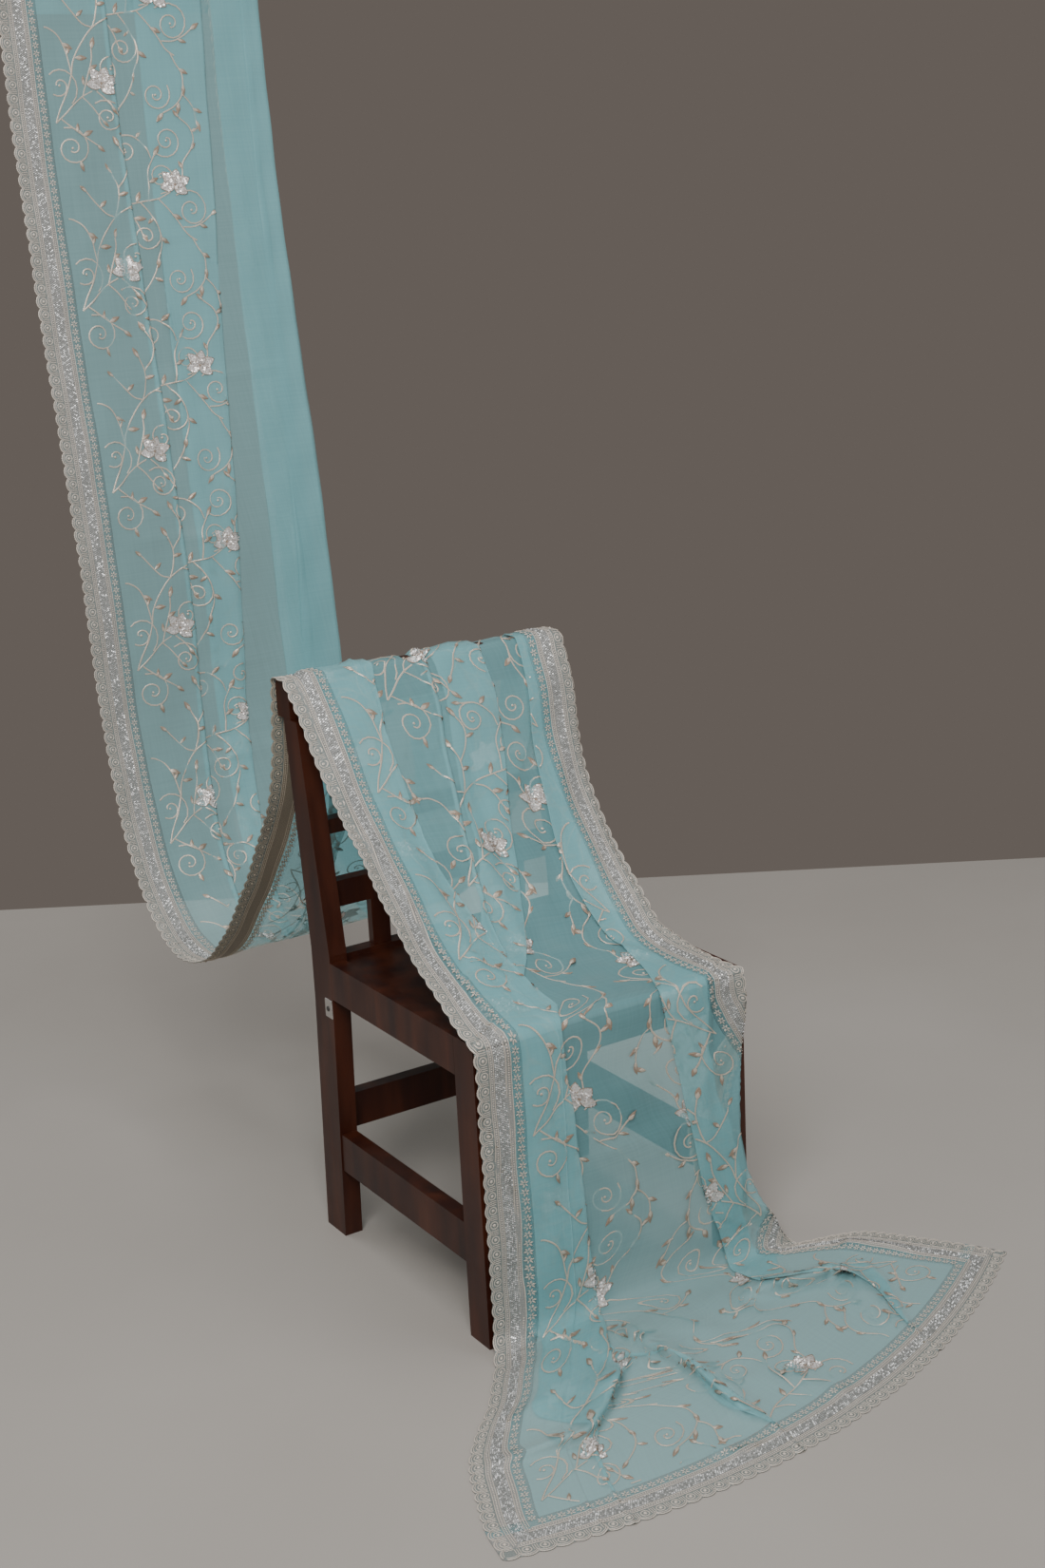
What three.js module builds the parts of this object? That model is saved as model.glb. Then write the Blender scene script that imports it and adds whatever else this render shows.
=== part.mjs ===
// An organza saree draped over a plain wooden chair and hung up behind it on a rod.
// Millimetres, +Z up. The chair faces -Y, with the seat's front edge on y = 0 while modelling.
// The cloth is one long sheet, followed from its end on the floor, up the chair's front, over the
// seat and the top rail, down into a loop behind the chair, and up to the rod.
import * as THREE from 'three';

// The sheet
const CLOTH_WIDTH = 1050;
const BORDER_WIDTH = 70;
const WALL = 1.0;
const SEAM = 0.3;
const LAYER_PITCH = 3.2;
const MIN_SURPLUS = 6;
const STACK_MARGIN = 10;
const STACK_RAMP = 14;
const HINGE_LIP = 5;
// Places of a wall's points near a seam: round the turned edge as shares of its height, then in mm
const CAP_MIDDLE = [1, 0.78];
const CAP_BORDER = [0.36, 0.22, 0];
const CAP_FOOT = 3;
const BEFORE_SEAM = [8, 4];
const AFTER_SEAM = [4, 8, 12, 16];
const BORDER_GAP = 2.6;
const STACK_LIMIT = 0.6;
const REST = WALL / 2;
const CLEAR = WALL / 2 + SEAM;

// The chair
const CHAIR_HALF = 226;
const CHAIR_X = -11;
const SEAT_TOP = 450;
const LEG_X = 29;
const LEG_Y = 50;
const POST_Y = 57;
const POST_FRONT = 400;
const FOOT_SPLAY = 17;
const SPLAY_TOP = 380;
const LEAN_FROM = 460;
const POST_TOP = 806;
const POST_LEAN = 31;
const POST_TAPER = 17;
const RAIL_TOP = 864;
const RAIL_Y = 486;
const RAIL_DEPTH = 40;
const RAIL_ROUND = 12;
const SEAT_RAIL_TALL = 57;
const SEAT_RAIL_THICK = 25;
const SEAT_BOARD = { top: 442, thick: 12 };
const STRETCHER = { bottom: 112, top: 172, thick: 25 };
const REAR_STRETCHER = { bottom: 170, top: 225, y: 425, thick: 22 };
const BACK_RAIL_THICK = 22;
const BACK_RAILS = [
  { name: 'chair_back_rail_lower', bottom: 523, top: 563 },
  { name: 'chair_back_rail_upper', bottom: 633, top: 655 },
];
const SPLAT = { x: 121, width: 30, thick: 14 };

// The rod that the upper end hangs on
const ROD = { y: 1350, z: 1990, radius: 12.5, half: 310 };

// Rows across the sheet, in order along it. l and r are the sheet's visible left and right edges,
// and sag moves the middle. The folds of a row are distances from its left edge:
// a, the right edge of the pleat by the left border, d, that of the middle pleat, and f, the left
// edge of the pleat by the right border. shareA and shareF say how the spare width is shared out,
// with the rest in the middle pleat. turned is the width turned back under the right edge, inset
// how far that turn lies inside the edge, and pitch the distance between layers.
const row = (l, r, sag, a, d, f, shareA, shareF, turned = 0, inset = 0, pitch = LAYER_PITCH) => (
  { l, r, sag, a, d, f, shareA, shareF, turned, inset, pitch });

const FALL_Y = -9;
const fall = (z, xl, xr, ...folds) => row([xl, FALL_Y, z], [xr, FALL_Y, z], [0, 0, 0], ...folds);

const HEM_ROWS = [
  row([-474, -410, REST], [511, -233, REST], [20, -113, 0], 165, 424, 735, 0.33, 0.33, 0, 0, 1.7),
  row([-462, -350, REST], [482, -180, REST], [18, -105, 0], 167, 423, 738, 0.14, 0.46, 0, 0, 2.0),
];
const TRAIN_ROWS = [
  row([-437, -285, REST], [447, -128, REST], [15, -88, 0], 168, 400, 739, 0.08, 0.46, 0, 0, 2.3),
  row([-408, -222, REST], [417, -86, REST], [12, -66, 0], 172, 376, 713, 0.25, 0.40),
  row([-365, -168, REST], [390, -56, REST], [8, -45, 0], 195, 323, 595, 0.43, 0.32),
  row([-312, -119, REST], [353, -40, REST], [4, -25, 0], 195, 216, 490, 0.46, 0.33),
  row([-272, -75, REST], [318, -31, REST], [0, -12, 0], 185, 182, 445, 0.42, 0.35),
  row([-240, -45, REST], [293, -25, REST], [0, -6, 0], 176, 171, 411, 0.39, 0.36),
];
const FALL_ROWS = [
  row([-237, -30, 4], [283, -19, 4], [0, -3, 0], 173, 168, 404, 0.38, 0.30),
  row([-236, -18, 13], [275, -14, 13], [0, 0, 0], 171, 166, 400, 0.38, 0.20, 10),
  row([-235, -10.5, 28], [267, -10.5, 28], [0, 0, 0], 169, 164, 396, 0.38, 0.19, 25),
  fall(46, -235, 260, 167, 162, 391, 0.39, 0.20, 40),
  fall(62, -235, 250, 166, 161, 386, 0.385, 0.20, 62),
  fall(71, -235, 243, 166, 160, 382, 0.385, 0.205, 70),
  fall(80, -235, 237, 165, 159, 379, 0.385, 0.21, 78),
  fall(96, -236, 229, 164, 158, 375, 0.38, 0.23, 82),
  fall(142, -236, 206, 160, 155, 361, 0.36, 0.27, 90),
  fall(222, -238, 190, 156, 151, 348, 0.355, 0.26, 95),
  fall(282, -239, 193, 150, 145, 335, 0.34, 0.22, 82),
  fall(300, -239, 194, 149, 144, 332, 0.335, 0.22, 78),
  fall(312, -239, 196, 148, 143, 330, 0.33, 0.22, 70),
  fall(324, -239, 198, 147, 142, 328, 0.325, 0.22, 62),
  fall(345, -240, 201, 144, 140, 323, 0.315, 0.22, 45),
  fall(390, -241, 209, 140, 136, 315, 0.30, 0.25, 15),
  fall(427, -242, 212, 138, 134, 308, 0.29, 0.28, 5),
  fall(430, -242, 213, 138, 134, 308, 0.29, 0.28),
];
const SWAG_ROWS = [
  row([-243, -7.5, 444], [213, -7.5, 444], [0, 0, 0], 139, 135, 307, 0.29, 0.28),
  row([-243, -4, 450.4], [213, -4, 450.4], [0, 0, 0], 142, 138, 308, 0.29, 0.28),
  row([-244, 4, 455], [211, 4, 451.8], [0, 0, -1], 147, 143, 312, 0.30, 0.30),
  row([-245, 35, 470], [208, 40, 452.5], [0, 0, -7], 165, 158, 329, 0.32, 0.36),
  row([-245, 84, 500], [210, 100, 452.5], [0, 0, -17], 161, 157, 352, 0.31, 0.33),
  row([-245, 144, 540], [215, 180, 460], [0, 0, -25], 159, 202, 369, 0.26, 0.29),
  row([-245, 200, 590], [222, 250, 500], [0, 0, -28], 152, 245, 367, 0.32, 0.34),
  row([-245, 262, 646], [229, 330, 565], [0, 0, -20], 133, 285, 370, 0.30, 0.36),
  row([-245, 318, 693], [231, 392, 645], [0, 0, -10], 127, 313, 383, 0.32, 0.31),
  row([-245, 373, 753], [233, 422, 720], [0, 0, -5], 124, 331, 388, 0.32, 0.28),
  row([-245, 421, 812], [236, 436, 788], [0, 0, 0], 137, 337, 395, 0.34, 0.26),
  row([-245, 453, 845], [237, 455, 836], [0, 0, 0], 143, 335, 398, 0.35, 0.25),
];

// The rear stretch keeps one width, so a row is its place along the side profile and its folds.
const SPAN = 245;
const level = (y, z, ...folds) => row([-SPAN, y, z], [SPAN, y, z], [0, 0, 0], ...folds);
const RAIL_STEP = Math.PI / 9;
const ROD_STEP = Math.PI / 8;
const railTurn = (steps, ...folds) => {
  const reach = (RAIL_ROUND + CLEAR) / Math.cos(RAIL_STEP);
  const y = RAIL_Y + Math.sign(steps) * (RAIL_DEPTH / 2 - RAIL_ROUND) + reach * Math.sin(steps * RAIL_STEP);
  const z = RAIL_TOP - RAIL_ROUND + reach * Math.cos(steps * RAIL_STEP);
  return row([-SPAN, y, z], [240, y, z], [0, 0, 0], ...folds);
};
const rodTurn = (steps, ...folds) => {
  const reach = (ROD.radius + CLEAR) / Math.cos(ROD_STEP);
  const angle = steps * ROD_STEP;
  return level(ROD.y + reach * Math.sin(angle), ROD.z + reach * Math.cos(angle), ...folds);
};
const ROD_FRONT = ROD.y - ROD.radius - CLEAR;
const ROD_BACK = ROD.y + ROD.radius + CLEAR;
const HUNG = [476, 384, 0.12, 0.37, 100, 10];

const OVER_RAIL_ROWS = [
  railTurn(-3, 148, 334, 399, 0.34, 0.25),
  railTurn(-1, 150, 334, 400, 0.33, 0.25),
  railTurn(1, 151, 334, 400, 0.33, 0.25),
  railTurn(3, 152, 335, 400, 0.32, 0.25),
  railTurn(5, 153, 336, 400, 0.30, 0.25),
];
const REAR_ROWS = [
  level(510, 825, 155, 340, 400, 0.28, 0.26),
  level(520, 775, 158, 358, 400, 0.27, 0.25),
  level(531, 720, 160, 380, 402, 0.25, 0.23),
  level(548, 670, 160, 402, 398, 0.21, 0.25),
  level(585, 610, 160, 425, 392, 0.16, 0.27),
  level(640, 535, 162, 445, 388, 0.12, 0.29),
  level(643, 531, 162, 446, 388, 0.12, 0.29, 5, 0.2),
  level(705, 455, 168, 462, 386, 0.09, 0.31, 10, 2),
  level(765, 388, 178, 472, 385, 0.08, 0.34, 30, 4),
  level(825, 339, 189, 474, 384, 0.09, 0.35, 50, 6),
  level(853, 324, 194, 475, 384, 0.09, 0.34, 62, 7),
  level(865, 319, 196, 475, 384, 0.09, 0.34, 70, 7),
  level(877, 314.5, 198, 475, 384, 0.10, 0.34, 78, 7),
  level(905, 306, 203, 475, 384, 0.10, 0.36, 83, 8),
];
const LOOP_ROWS = [
  level(950, 301, 212, 476, 384, 0.11, 0.37, 90, 9),
];
const HANGING_ROWS = [
  level(1000, 309, 220, ...HUNG),
  level(1052, 338, 228, ...HUNG),
  level(1100, 388, 235, ...HUNG),
  level(1140, 458, 238, ...HUNG),
  level(1173, 550, 240, ...HUNG),
  level(1198, 660, 242, ...HUNG),
  level(1212, 790, 243, ...HUNG),
  level(1226, 930, 243, ...HUNG),
  level(1250, 1100, 240, ...HUNG),
  level(1278, 1270, 236, ...HUNG),
  level(1301, 1440, 230, ...HUNG),
  level(1320, 1600, 222, ...HUNG),
  level(1332, 1760, 214, ...HUNG),
  level(ROD_FRONT, 1900, 208, ...HUNG),
];
const END_ROWS = [
  level(ROD_FRONT, ROD.z - 6, 206, ...HUNG),
  rodTurn(-3, 206, ...HUNG),
  rodTurn(-1, 206, ...HUNG),
  rodTurn(1, 206, ...HUNG),
  rodTurn(3, 206, ...HUNG),
  level(ROD_BACK + 0.5, ROD.z - 70, 206, ...HUNG),
  level(ROD_BACK + 1.5, ROD.z - 150, 206, ...HUNG),
];
const ROWS = [...HEM_ROWS, ...TRAIN_ROWS, ...FALL_ROWS, ...SWAG_ROWS, ...OVER_RAIL_ROWS, ...REAR_ROWS,
  ...LOOP_ROWS, ...HANGING_ROWS, ...END_ROWS];

// The row where each stretch starts, and the row where the last one ends
const STARTS = { hem: 0 };
STARTS.train = HEM_ROWS.length - 1;
STARTS.fall = HEM_ROWS.length + TRAIN_ROWS.length - 1;
STARTS.swag = STARTS.fall + FALL_ROWS.length;
STARTS.rear = STARTS.swag + SWAG_ROWS.length + OVER_RAIL_ROWS.length;
STARTS.hanging = STARTS.rear + REAR_ROWS.length + LOOP_ROWS.length;
STARTS.end = STARTS.hanging + HANGING_ROWS.length;
const LAST_ROW = ROWS.length - 1;

const STRETCHES = [
  { name: 'train', from: STARTS.train, to: STARTS.fall },
  { name: 'front_fall', from: STARTS.fall, to: STARTS.swag },
  { name: 'seat_swag', from: STARTS.swag, to: STARTS.rear },
  { name: 'rear_drop', from: STARTS.rear, to: STARTS.hanging },
  { name: 'hanging_panel', from: STARTS.hanging, to: STARTS.end },
  { name: 'rod_end', from: STARTS.end, to: LAST_ROW },
];

const clamp = (value, low, high) => Math.min(Math.max(value, low), high);
const smooth = (x) => {
  const c = clamp(x, 0, 1);
  return c * c * (3 - 2 * c);
};

// A point of a row's middle surface, at the share s of its width
function basePoint(index, share) {
  const { l, r, sag } = ROWS[index];
  const bulge = 4 * share * (1 - share);
  return new THREE.Vector3(
    l[0] + (r[0] - l[0]) * share + sag[0] * bulge,
    l[1] + (r[1] - l[1]) * share + sag[1] * bulge,
    l[2] + (r[2] - l[2]) * share + sag[2] * bulge,
  );
}

function rowWidth(index) {
  const steps = 24;
  let width = 0;
  for (let i = 0; i < steps; i += 1) {
    width += basePoint(index, i / steps).distanceTo(basePoint(index, (i + 1) / steps));
  }
  return width;
}

function along(index, share) {
  const before = basePoint(Math.max(index - 1, 0), share);
  const after = basePoint(Math.min(index + 1, LAST_ROW), share);
  return after.sub(before).normalize();
}

function faceNormal(index, share) {
  const step = 0.01;
  const low = Math.max(share - step, 0);
  const high = Math.min(share + step, 1);
  const across = basePoint(index, high).sub(basePoint(index, low));
  return across.cross(along(index, share)).normalize();
}

// The fold lines of one row: where each of the eight runs of the sheet starts and ends
function foldLines(index) {
  const { a, d, f, shareA, shareF, turned, inset, pitch } = ROWS[index];
  const width = rowWidth(index);
  const hinge = width - inset;
  const surplus = Math.max((CLOTH_WIDTH - hinge - turned) / 2, MIN_SURPLUS);
  const backA = a - surplus * shareA;
  const backD = d - surplus * (1 - shareA - shareF);
  const backF = f + surplus * shareF;
  const runs = [[0, a], [backA, a], [backA, d], [backD, d], [backD, backF], [f, backF], [f, hinge],
    [hinge - turned, hinge]];
  return { a, d, f, backA, backD, backF, hinge, turned, pitch, width, runs };
}

// The runs under each run, as they lie on each other
const UNDER = [[1, 2, 3, 6, 5, 4, 7], [2, 3, 6, 5, 4, 7], [3, 6, 5, 4, 7], [6, 5, 4, 7], [7], [4, 7],
  [5, 4, 7], []];

function covered([start, end], u) {
  if (end - start < 1) return 0;
  const left = (u - (start - STACK_MARGIN - STACK_RAMP)) / STACK_RAMP;
  const right = (end + STACK_MARGIN + STACK_RAMP - u) / STACK_RAMP;
  return smooth(left) * smooth(right);
}

function layerHeight(lines, run, u) {
  return lines.pitch * UNDER[run].reduce((sum, k) => sum + covered(lines.runs[k], u), 0);
}

// Points of a run between two ends, kept in order and a little apart
function spaced(start, end, wanted, gap = 0.8) {
  const way = Math.sign(end - start) || 1;
  const room = Math.abs(end - start);
  const step = Math.min(gap, room / (wanted.length + 1));
  let last = 0;
  return [...wanted].sort((p, q) => (p - q) * way).map((value, i) => {
    const most = room - step * (wanted.length - i);
    last = clamp((value - start) * way, last + step, most);
    return start + last * way;
  });
}

// The outline of one row's sheet as points [u, h], for its left border, middle and right border
function rowOutline(index) {
  const lines = foldLines(index);
  const { a, d, f, backA, backD, backF, hinge, turned } = lines;
  const out = STACK_MARGIN;
  const far = STACK_MARGIN + STACK_RAMP;
  const at = (run, u) => [u, layerHeight(lines, run, u)];
  const on = (run, start, end, wanted) => spaced(start, end, wanted).map((u) => at(run, u));
  const between = (start, end, count) => (
    Array.from({ length: count }, (_, i) => start + ((end - start) * (i + 1)) / (count + 1)));

  const edge = BORDER_WIDTH;
  const early = edge / 6;
  const left = [0, edge / 3, (edge * 2) / 3, edge - SEAM / 2].map((u) => (
    [u, layerHeight(lines, 0, Math.min(u + early, edge))]));
  const middle = [at(0, edge + SEAM / 2)];
  middle.push(...on(0, edge + SEAM / 2, a, [backA - far, backA - out, (backA + a) / 2]), at(0, a));
  middle.push(at(1, a), at(1, (a + backA) / 2), at(1, backA), at(2, backA));
  const thirds = between(backA, d, 2);
  middle.push(...on(2, backA, d, [backD - far, backD - out, ...thirds, f - far, f - out]), at(2, d));
  middle.push(at(3, d), ...on(3, d, backD, [f - out, f - far, (backD + d) / 2]), at(3, backD), at(4, backD));
  const turnedTo = turned > 1 ? hinge - turned : backF;
  const flat = between(backD, turnedTo - far, 2);
  middle.push(...on(4, backD, backF, [...flat, turnedTo - far, turnedTo - out]), at(4, backF));
  middle.push(at(5, backF), at(5, (f + backF) / 2), at(5, f), at(6, f));

  // From here on the way is measured from the last pleat's edge, round the hinge and back
  const toHinge = hinge - f;
  const whole = toHinge + turned;
  const place = (way) => (way <= toHinge ? at(6, f + way) : [hinge - (way - toHinge), 0]);
  const corner = [at(6, hinge), [hinge, 0]];
  const borderStart = whole - BORDER_WIDTH + SEAM / 2;
  const middleEnd = whole - BORDER_WIDTH - SEAM / 2;
  const hingeInMiddle = toHinge < middleEnd - HINGE_LIP;
  const hingeInBorder = turned >= HINGE_LIP && !hingeInMiddle;
  const afterF = [backF + out - f, backF + far - f];
  if (turned === BORDER_WIDTH) {
    const top = layerHeight(lines, 6, hinge);
    const cap = CAP_MIDDLE.map((share) => [hinge, top * share]);
    middle.push(...spaced(0, toHinge, afterF).map((w) => place(w)), ...cap, [hinge, (top + SEAM) / 2]);
    const lower = CAP_BORDER.map((share) => [hinge, top * share]);
    const right = [[hinge, (top - SEAM) / 2], ...lower, [hinge - CAP_FOOT, 0], [hinge - turned, 0]];
    return { left, middle, right, width: lines.width };
  }
  if (hingeInMiddle) {
    middle.push(...spaced(0, toHinge, afterF).map((w) => place(w)), ...corner, place(middleEnd));
  } else {
    const extra = BEFORE_SEAM.map((gap) => middleEnd - gap);
    const stacked = afterF.map((w) => Math.min(w, middleEnd * STACK_LIMIT));
    middle.push(...spaced(0, middleEnd, [...stacked, ...extra]).map((w) => place(w)), place(middleEnd));
  }
  const lip = [toHinge - HINGE_LIP, toHinge - HINGE_LIP / 2].map((w) => place(w));
  const inside = (end) => spaced(borderStart, end, afterF, BORDER_GAP).map((w) => place(w));
  let inner = [...inside(toHinge - HINGE_LIP), ...lip];
  if (hingeInBorder) inner = [...inside(toHinge), ...corner];
  if (hingeInMiddle) inner = AFTER_SEAM.map((step) => place(borderStart + step));
  const right = [place(borderStart), ...inner, place(whole)];
  return { left, middle, right, width: lines.width };
}

// Both faces of a wall of the given thickness along an open outline, with mitred corners
function wallFaces(outline) {
  const points = outline.map(([u, h]) => new THREE.Vector2(u, h));
  const ways = points.slice(1).map((p, i) => p.clone().sub(points[i]).normalize());
  return points.map((p, i) => {
    const before = ways[Math.max(i - 1, 0)];
    const after = ways[Math.min(i, ways.length - 1)];
    const side = new THREE.Vector2(-before.y - after.y, before.x + after.x);
    if (side.length() < 0.05) side.set(-before.y, before.x);
    side.normalize();
    const reach = (WALL / 2) / Math.max(side.dot(new THREE.Vector2(-before.y, before.x)), 0.5);
    return { face: p.clone().addScaledVector(side, reach), back: p.clone().addScaledVector(side, -reach) };
  });
}

// A closed wall through the outlines of neighbouring rows
function wallThrough(from, to, pick) {
  const positions = [];
  const rows = [];
  for (let index = from; index <= to; index += 1) {
    const outline = rowOutline(index);
    const faces = wallFaces(pick(outline));
    let shift = 0;
    if (index === from && from > 0) shift = SEAM / 2;
    if (index === to && to < LAST_ROW) shift = -SEAM / 2;
    const put = (p) => {
      const share = clamp(p.x / outline.width, 0, 1);
      const base = basePoint(index, share);
      base.addScaledVector(faceNormal(index, share), p.y);
      base.addScaledVector(along(index, share), shift);
      positions.push(base.x, base.y, base.z);
      return positions.length / 3 - 1;
    };
    rows.push(faces.map(({ face, back }) => ({ face: put(face), back: put(back) })));
  }
  const triangles = [];
  const quad = (p, q, r, s) => triangles.push(p, q, r, p, r, s);
  const last = rows[0].length - 1;
  for (let k = 0; k < rows.length - 1; k += 1) {
    const [one, two] = [rows[k], rows[k + 1]];
    for (let i = 0; i < last; i += 1) {
      quad(one[i].face, one[i + 1].face, two[i + 1].face, two[i].face);
      quad(one[i].back, two[i].back, two[i + 1].back, one[i + 1].back);
    }
    quad(one[0].back, one[0].face, two[0].face, two[0].back);
    quad(one[last].back, two[last].back, two[last].face, one[last].face);
  }
  const [first, end] = [rows[0], rows[rows.length - 1]];
  for (let i = 0; i < last; i += 1) {
    quad(first[i].back, first[i + 1].back, first[i + 1].face, first[i].face);
    quad(end[i].face, end[i + 1].face, end[i + 1].back, end[i].back);
  }
  const geometry = new THREE.BufferGeometry();
  geometry.setAttribute('position', new THREE.Float32BufferAttribute(positions, 3));
  geometry.setIndex(triangles);
  geometry.computeVertexNormals();
  return geometry;
}

const group = new THREE.Group();
const organza = new THREE.MeshStandardMaterial({ color: 0x8fd0d0, roughness: 0.45, metalness: 0 });
const lace = new THREE.MeshStandardMaterial({ color: 0xcbb9a4, roughness: 0.4, metalness: 0.2 });
const wood = new THREE.MeshStandardMaterial({ color: 0x6b2a15, roughness: 0.45, metalness: 0 });

function add(name, geometry, material) {
  const mesh = new THREE.Mesh(geometry, material);
  mesh.name = name;
  group.add(mesh);
  return mesh;
}

function addBox(name, [x0, x1], [y0, y1], [z0, z1]) {
  const mesh = add(name, new THREE.BoxGeometry(x1 - x0, y1 - y0, z1 - z0), wood);
  mesh.position.set(CHAIR_X + (x0 + x1) / 2, (y0 + y1) / 2, (z0 + z1) / 2);
}

// A side profile of [y, z] points, as thick as x0 to x1
function addProfile(name, profile, x0, x1) {
  const shape = new THREE.Shape(profile.map(([y, z]) => new THREE.Vector2(y, z)));
  const mesh = add(name, new THREE.ExtrudeGeometry(shape, { depth: x1 - x0, bevelEnabled: false }), wood);
  mesh.rotation.set(Math.PI / 2, Math.PI / 2, 0);
  mesh.position.x = CHAIR_X + x0;
}

function addChair() {
  const inner = CHAIR_HALF - LEG_X;
  const splay = (z) => FOOT_SPLAY * clamp((SPLAY_TOP - z) / SPLAY_TOP, 0, 1);
  const lean = (z) => POST_LEAN * clamp((z - LEAN_FROM) / (POST_TOP - LEAN_FROM), 0, 1);
  const back = (z) => POST_FRONT + POST_Y + splay(z) + lean(z);
  const front = (z) => back(z) - POST_Y + (lean(z) / POST_LEAN) * POST_TAPER;
  const stops = [0, SPLAY_TOP, LEAN_FROM, POST_TOP];
  const post = [...stops.map((z) => [front(z), z]), ...stops.reverse().map((z) => [back(z), z])];
  const { bottom, top, thick } = STRETCHER;
  const side = [[LEG_Y + SEAM, bottom], [front(bottom) - SEAM, bottom], [front(top) - SEAM, top],
    [LEG_Y + SEAM, top]];
  const railBottom = SEAT_TOP - SEAT_RAIL_TALL;
  for (const [word, sign] of [['left', -1], ['right', 1]]) {
    const span = (near, away) => (sign < 0 ? [-away, -near] : [near, away]);
    addBox(`chair_leg_front_${word}`, span(inner, CHAIR_HALF), [0, LEG_Y], [0, SEAT_TOP]);
    addProfile(`chair_post_${word}`, post, ...span(inner, CHAIR_HALF));
    addProfile(`chair_stretcher_${word}`, side, ...span(CHAIR_HALF - thick - 2, CHAIR_HALF - 2));
    addBox(`chair_seat_rail_${word}`, span(CHAIR_HALF - SEAT_RAIL_THICK, CHAIR_HALF),
      [LEG_Y + SEAM, POST_FRONT - SEAM], [railBottom, SEAT_TOP]);
    addBox(`chair_splat_${word}`, span(SPLAT.x - SPLAT.width / 2, SPLAT.x + SPLAT.width / 2),
      [POST_FRONT + 28, POST_FRONT + 28 + SPLAT.thick], [SEAT_TOP + SEAM, BACK_RAILS[0].bottom - SEAM]);
  }
  const across = [-inner + SEAM, inner - SEAM];
  addBox('chair_seat_rail_front', across, [3, 3 + SEAT_RAIL_THICK], [railBottom, SEAT_TOP]);
  const rear = POST_FRONT + 22;
  addBox('chair_seat_rail_rear', across, [rear, rear + SEAT_RAIL_THICK], [railBottom, SEAT_TOP]);
  const board = CHAIR_HALF - SEAT_RAIL_THICK - SEAM;
  addBox('chair_seat_board', [-board + 4, board - 4], [3 + SEAT_RAIL_THICK + SEAM, rear - SEAM],
    [SEAT_BOARD.top - SEAT_BOARD.thick, SEAT_BOARD.top]);
  addBox('chair_stretcher_rear', across, [REAR_STRETCHER.y, REAR_STRETCHER.y + REAR_STRETCHER.thick],
    [REAR_STRETCHER.bottom, REAR_STRETCHER.top]);
  for (const rail of BACK_RAILS) {
    const middle = (rail.bottom + rail.top) / 2;
    const y = (front(middle) + back(middle) - BACK_RAIL_THICK) / 2;
    addBox(rail.name, across, [y, y + BACK_RAIL_THICK], [rail.bottom, rail.top]);
  }
  const half = RAIL_DEPTH / 2;
  const turn = Array.from({ length: 5 }, (_, i) => (i * Math.PI) / 8);
  const topRail = [[RAIL_Y - half, POST_TOP + SEAM], [RAIL_Y + half, POST_TOP + SEAM]];
  for (const t of turn) {
    topRail.push([RAIL_Y + half - RAIL_ROUND * (1 - Math.cos(t)), RAIL_TOP - RAIL_ROUND * (1 - Math.sin(t))]);
  }
  for (const t of turn) {
    topRail.push([RAIL_Y - half + RAIL_ROUND * (1 - Math.sin(t)), RAIL_TOP - RAIL_ROUND * (1 - Math.cos(t))]);
  }
  addProfile('chair_top_rail', topRail, -CHAIR_HALF, CHAIR_HALF);
}

function addRod() {
  const rod = add('hanging_rod', new THREE.CylinderGeometry(ROD.radius, ROD.radius, ROD.half * 2, 16), wood);
  rod.rotation.z = Math.PI / 2;
  rod.position.set(0, ROD.y, ROD.z);
}

function addSaree() {
  const whole = ({ left, middle, right }) => [...left, ...middle, ...right];
  add('hem_border', wallThrough(STARTS.hem, STARTS.train, whole), lace);
  for (const { name, from, to } of STRETCHES) {
    add(name, wallThrough(from, to, (o) => o.middle), organza);
    add(`${name}_border_left`, wallThrough(from, to, (o) => o.left), lace);
    add(`${name}_border_right`, wallThrough(from, to, (o) => o.right), lace);
  }
}

addChair();
addRod();
addSaree();

// The origin goes to the middle of the footprint, on the floor
group.updateMatrixWorld(true);
const box = new THREE.Box3().setFromObject(group, true);
group.position.set(-(box.min.x + box.max.x) / 2, -(box.min.y + box.max.y) / 2, -box.min.z);

export default group;
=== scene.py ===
"""Looks for an organza saree draped over a wooden chair and hung behind it on a rod.

The sheet is one surface, point(s, t): s is the distance along the cloth from its hem on the floor,
and t the distance across it from its left edge, both in metres. Every stretch, border, thread and
sequin is placed on that surface, so all of them follow the same folds.
"""
import math

import bpy
import numpy as np
from mathutils import Matrix, Vector


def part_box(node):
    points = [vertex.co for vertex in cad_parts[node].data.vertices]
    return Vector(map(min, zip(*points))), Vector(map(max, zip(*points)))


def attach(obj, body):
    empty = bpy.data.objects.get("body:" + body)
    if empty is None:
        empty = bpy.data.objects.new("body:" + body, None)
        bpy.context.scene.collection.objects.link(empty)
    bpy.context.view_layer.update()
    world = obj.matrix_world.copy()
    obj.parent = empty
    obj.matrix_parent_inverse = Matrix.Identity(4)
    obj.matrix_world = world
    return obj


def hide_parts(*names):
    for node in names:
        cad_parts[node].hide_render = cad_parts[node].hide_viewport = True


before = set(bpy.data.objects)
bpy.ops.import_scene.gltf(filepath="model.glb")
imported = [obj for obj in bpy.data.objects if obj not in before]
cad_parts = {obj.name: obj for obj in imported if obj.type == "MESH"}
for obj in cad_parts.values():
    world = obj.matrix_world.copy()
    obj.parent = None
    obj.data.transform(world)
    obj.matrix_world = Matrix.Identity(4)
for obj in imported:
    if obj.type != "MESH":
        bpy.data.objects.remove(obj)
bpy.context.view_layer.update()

MM = 1000
CLOTH_WIDTH = 1.05
BORDER = 0.07
LAYER = 0.0021
COVER_MARGIN = 0.002
COVER_RAMP = 0.007
CHAIR_LEFT = -0.237
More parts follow.
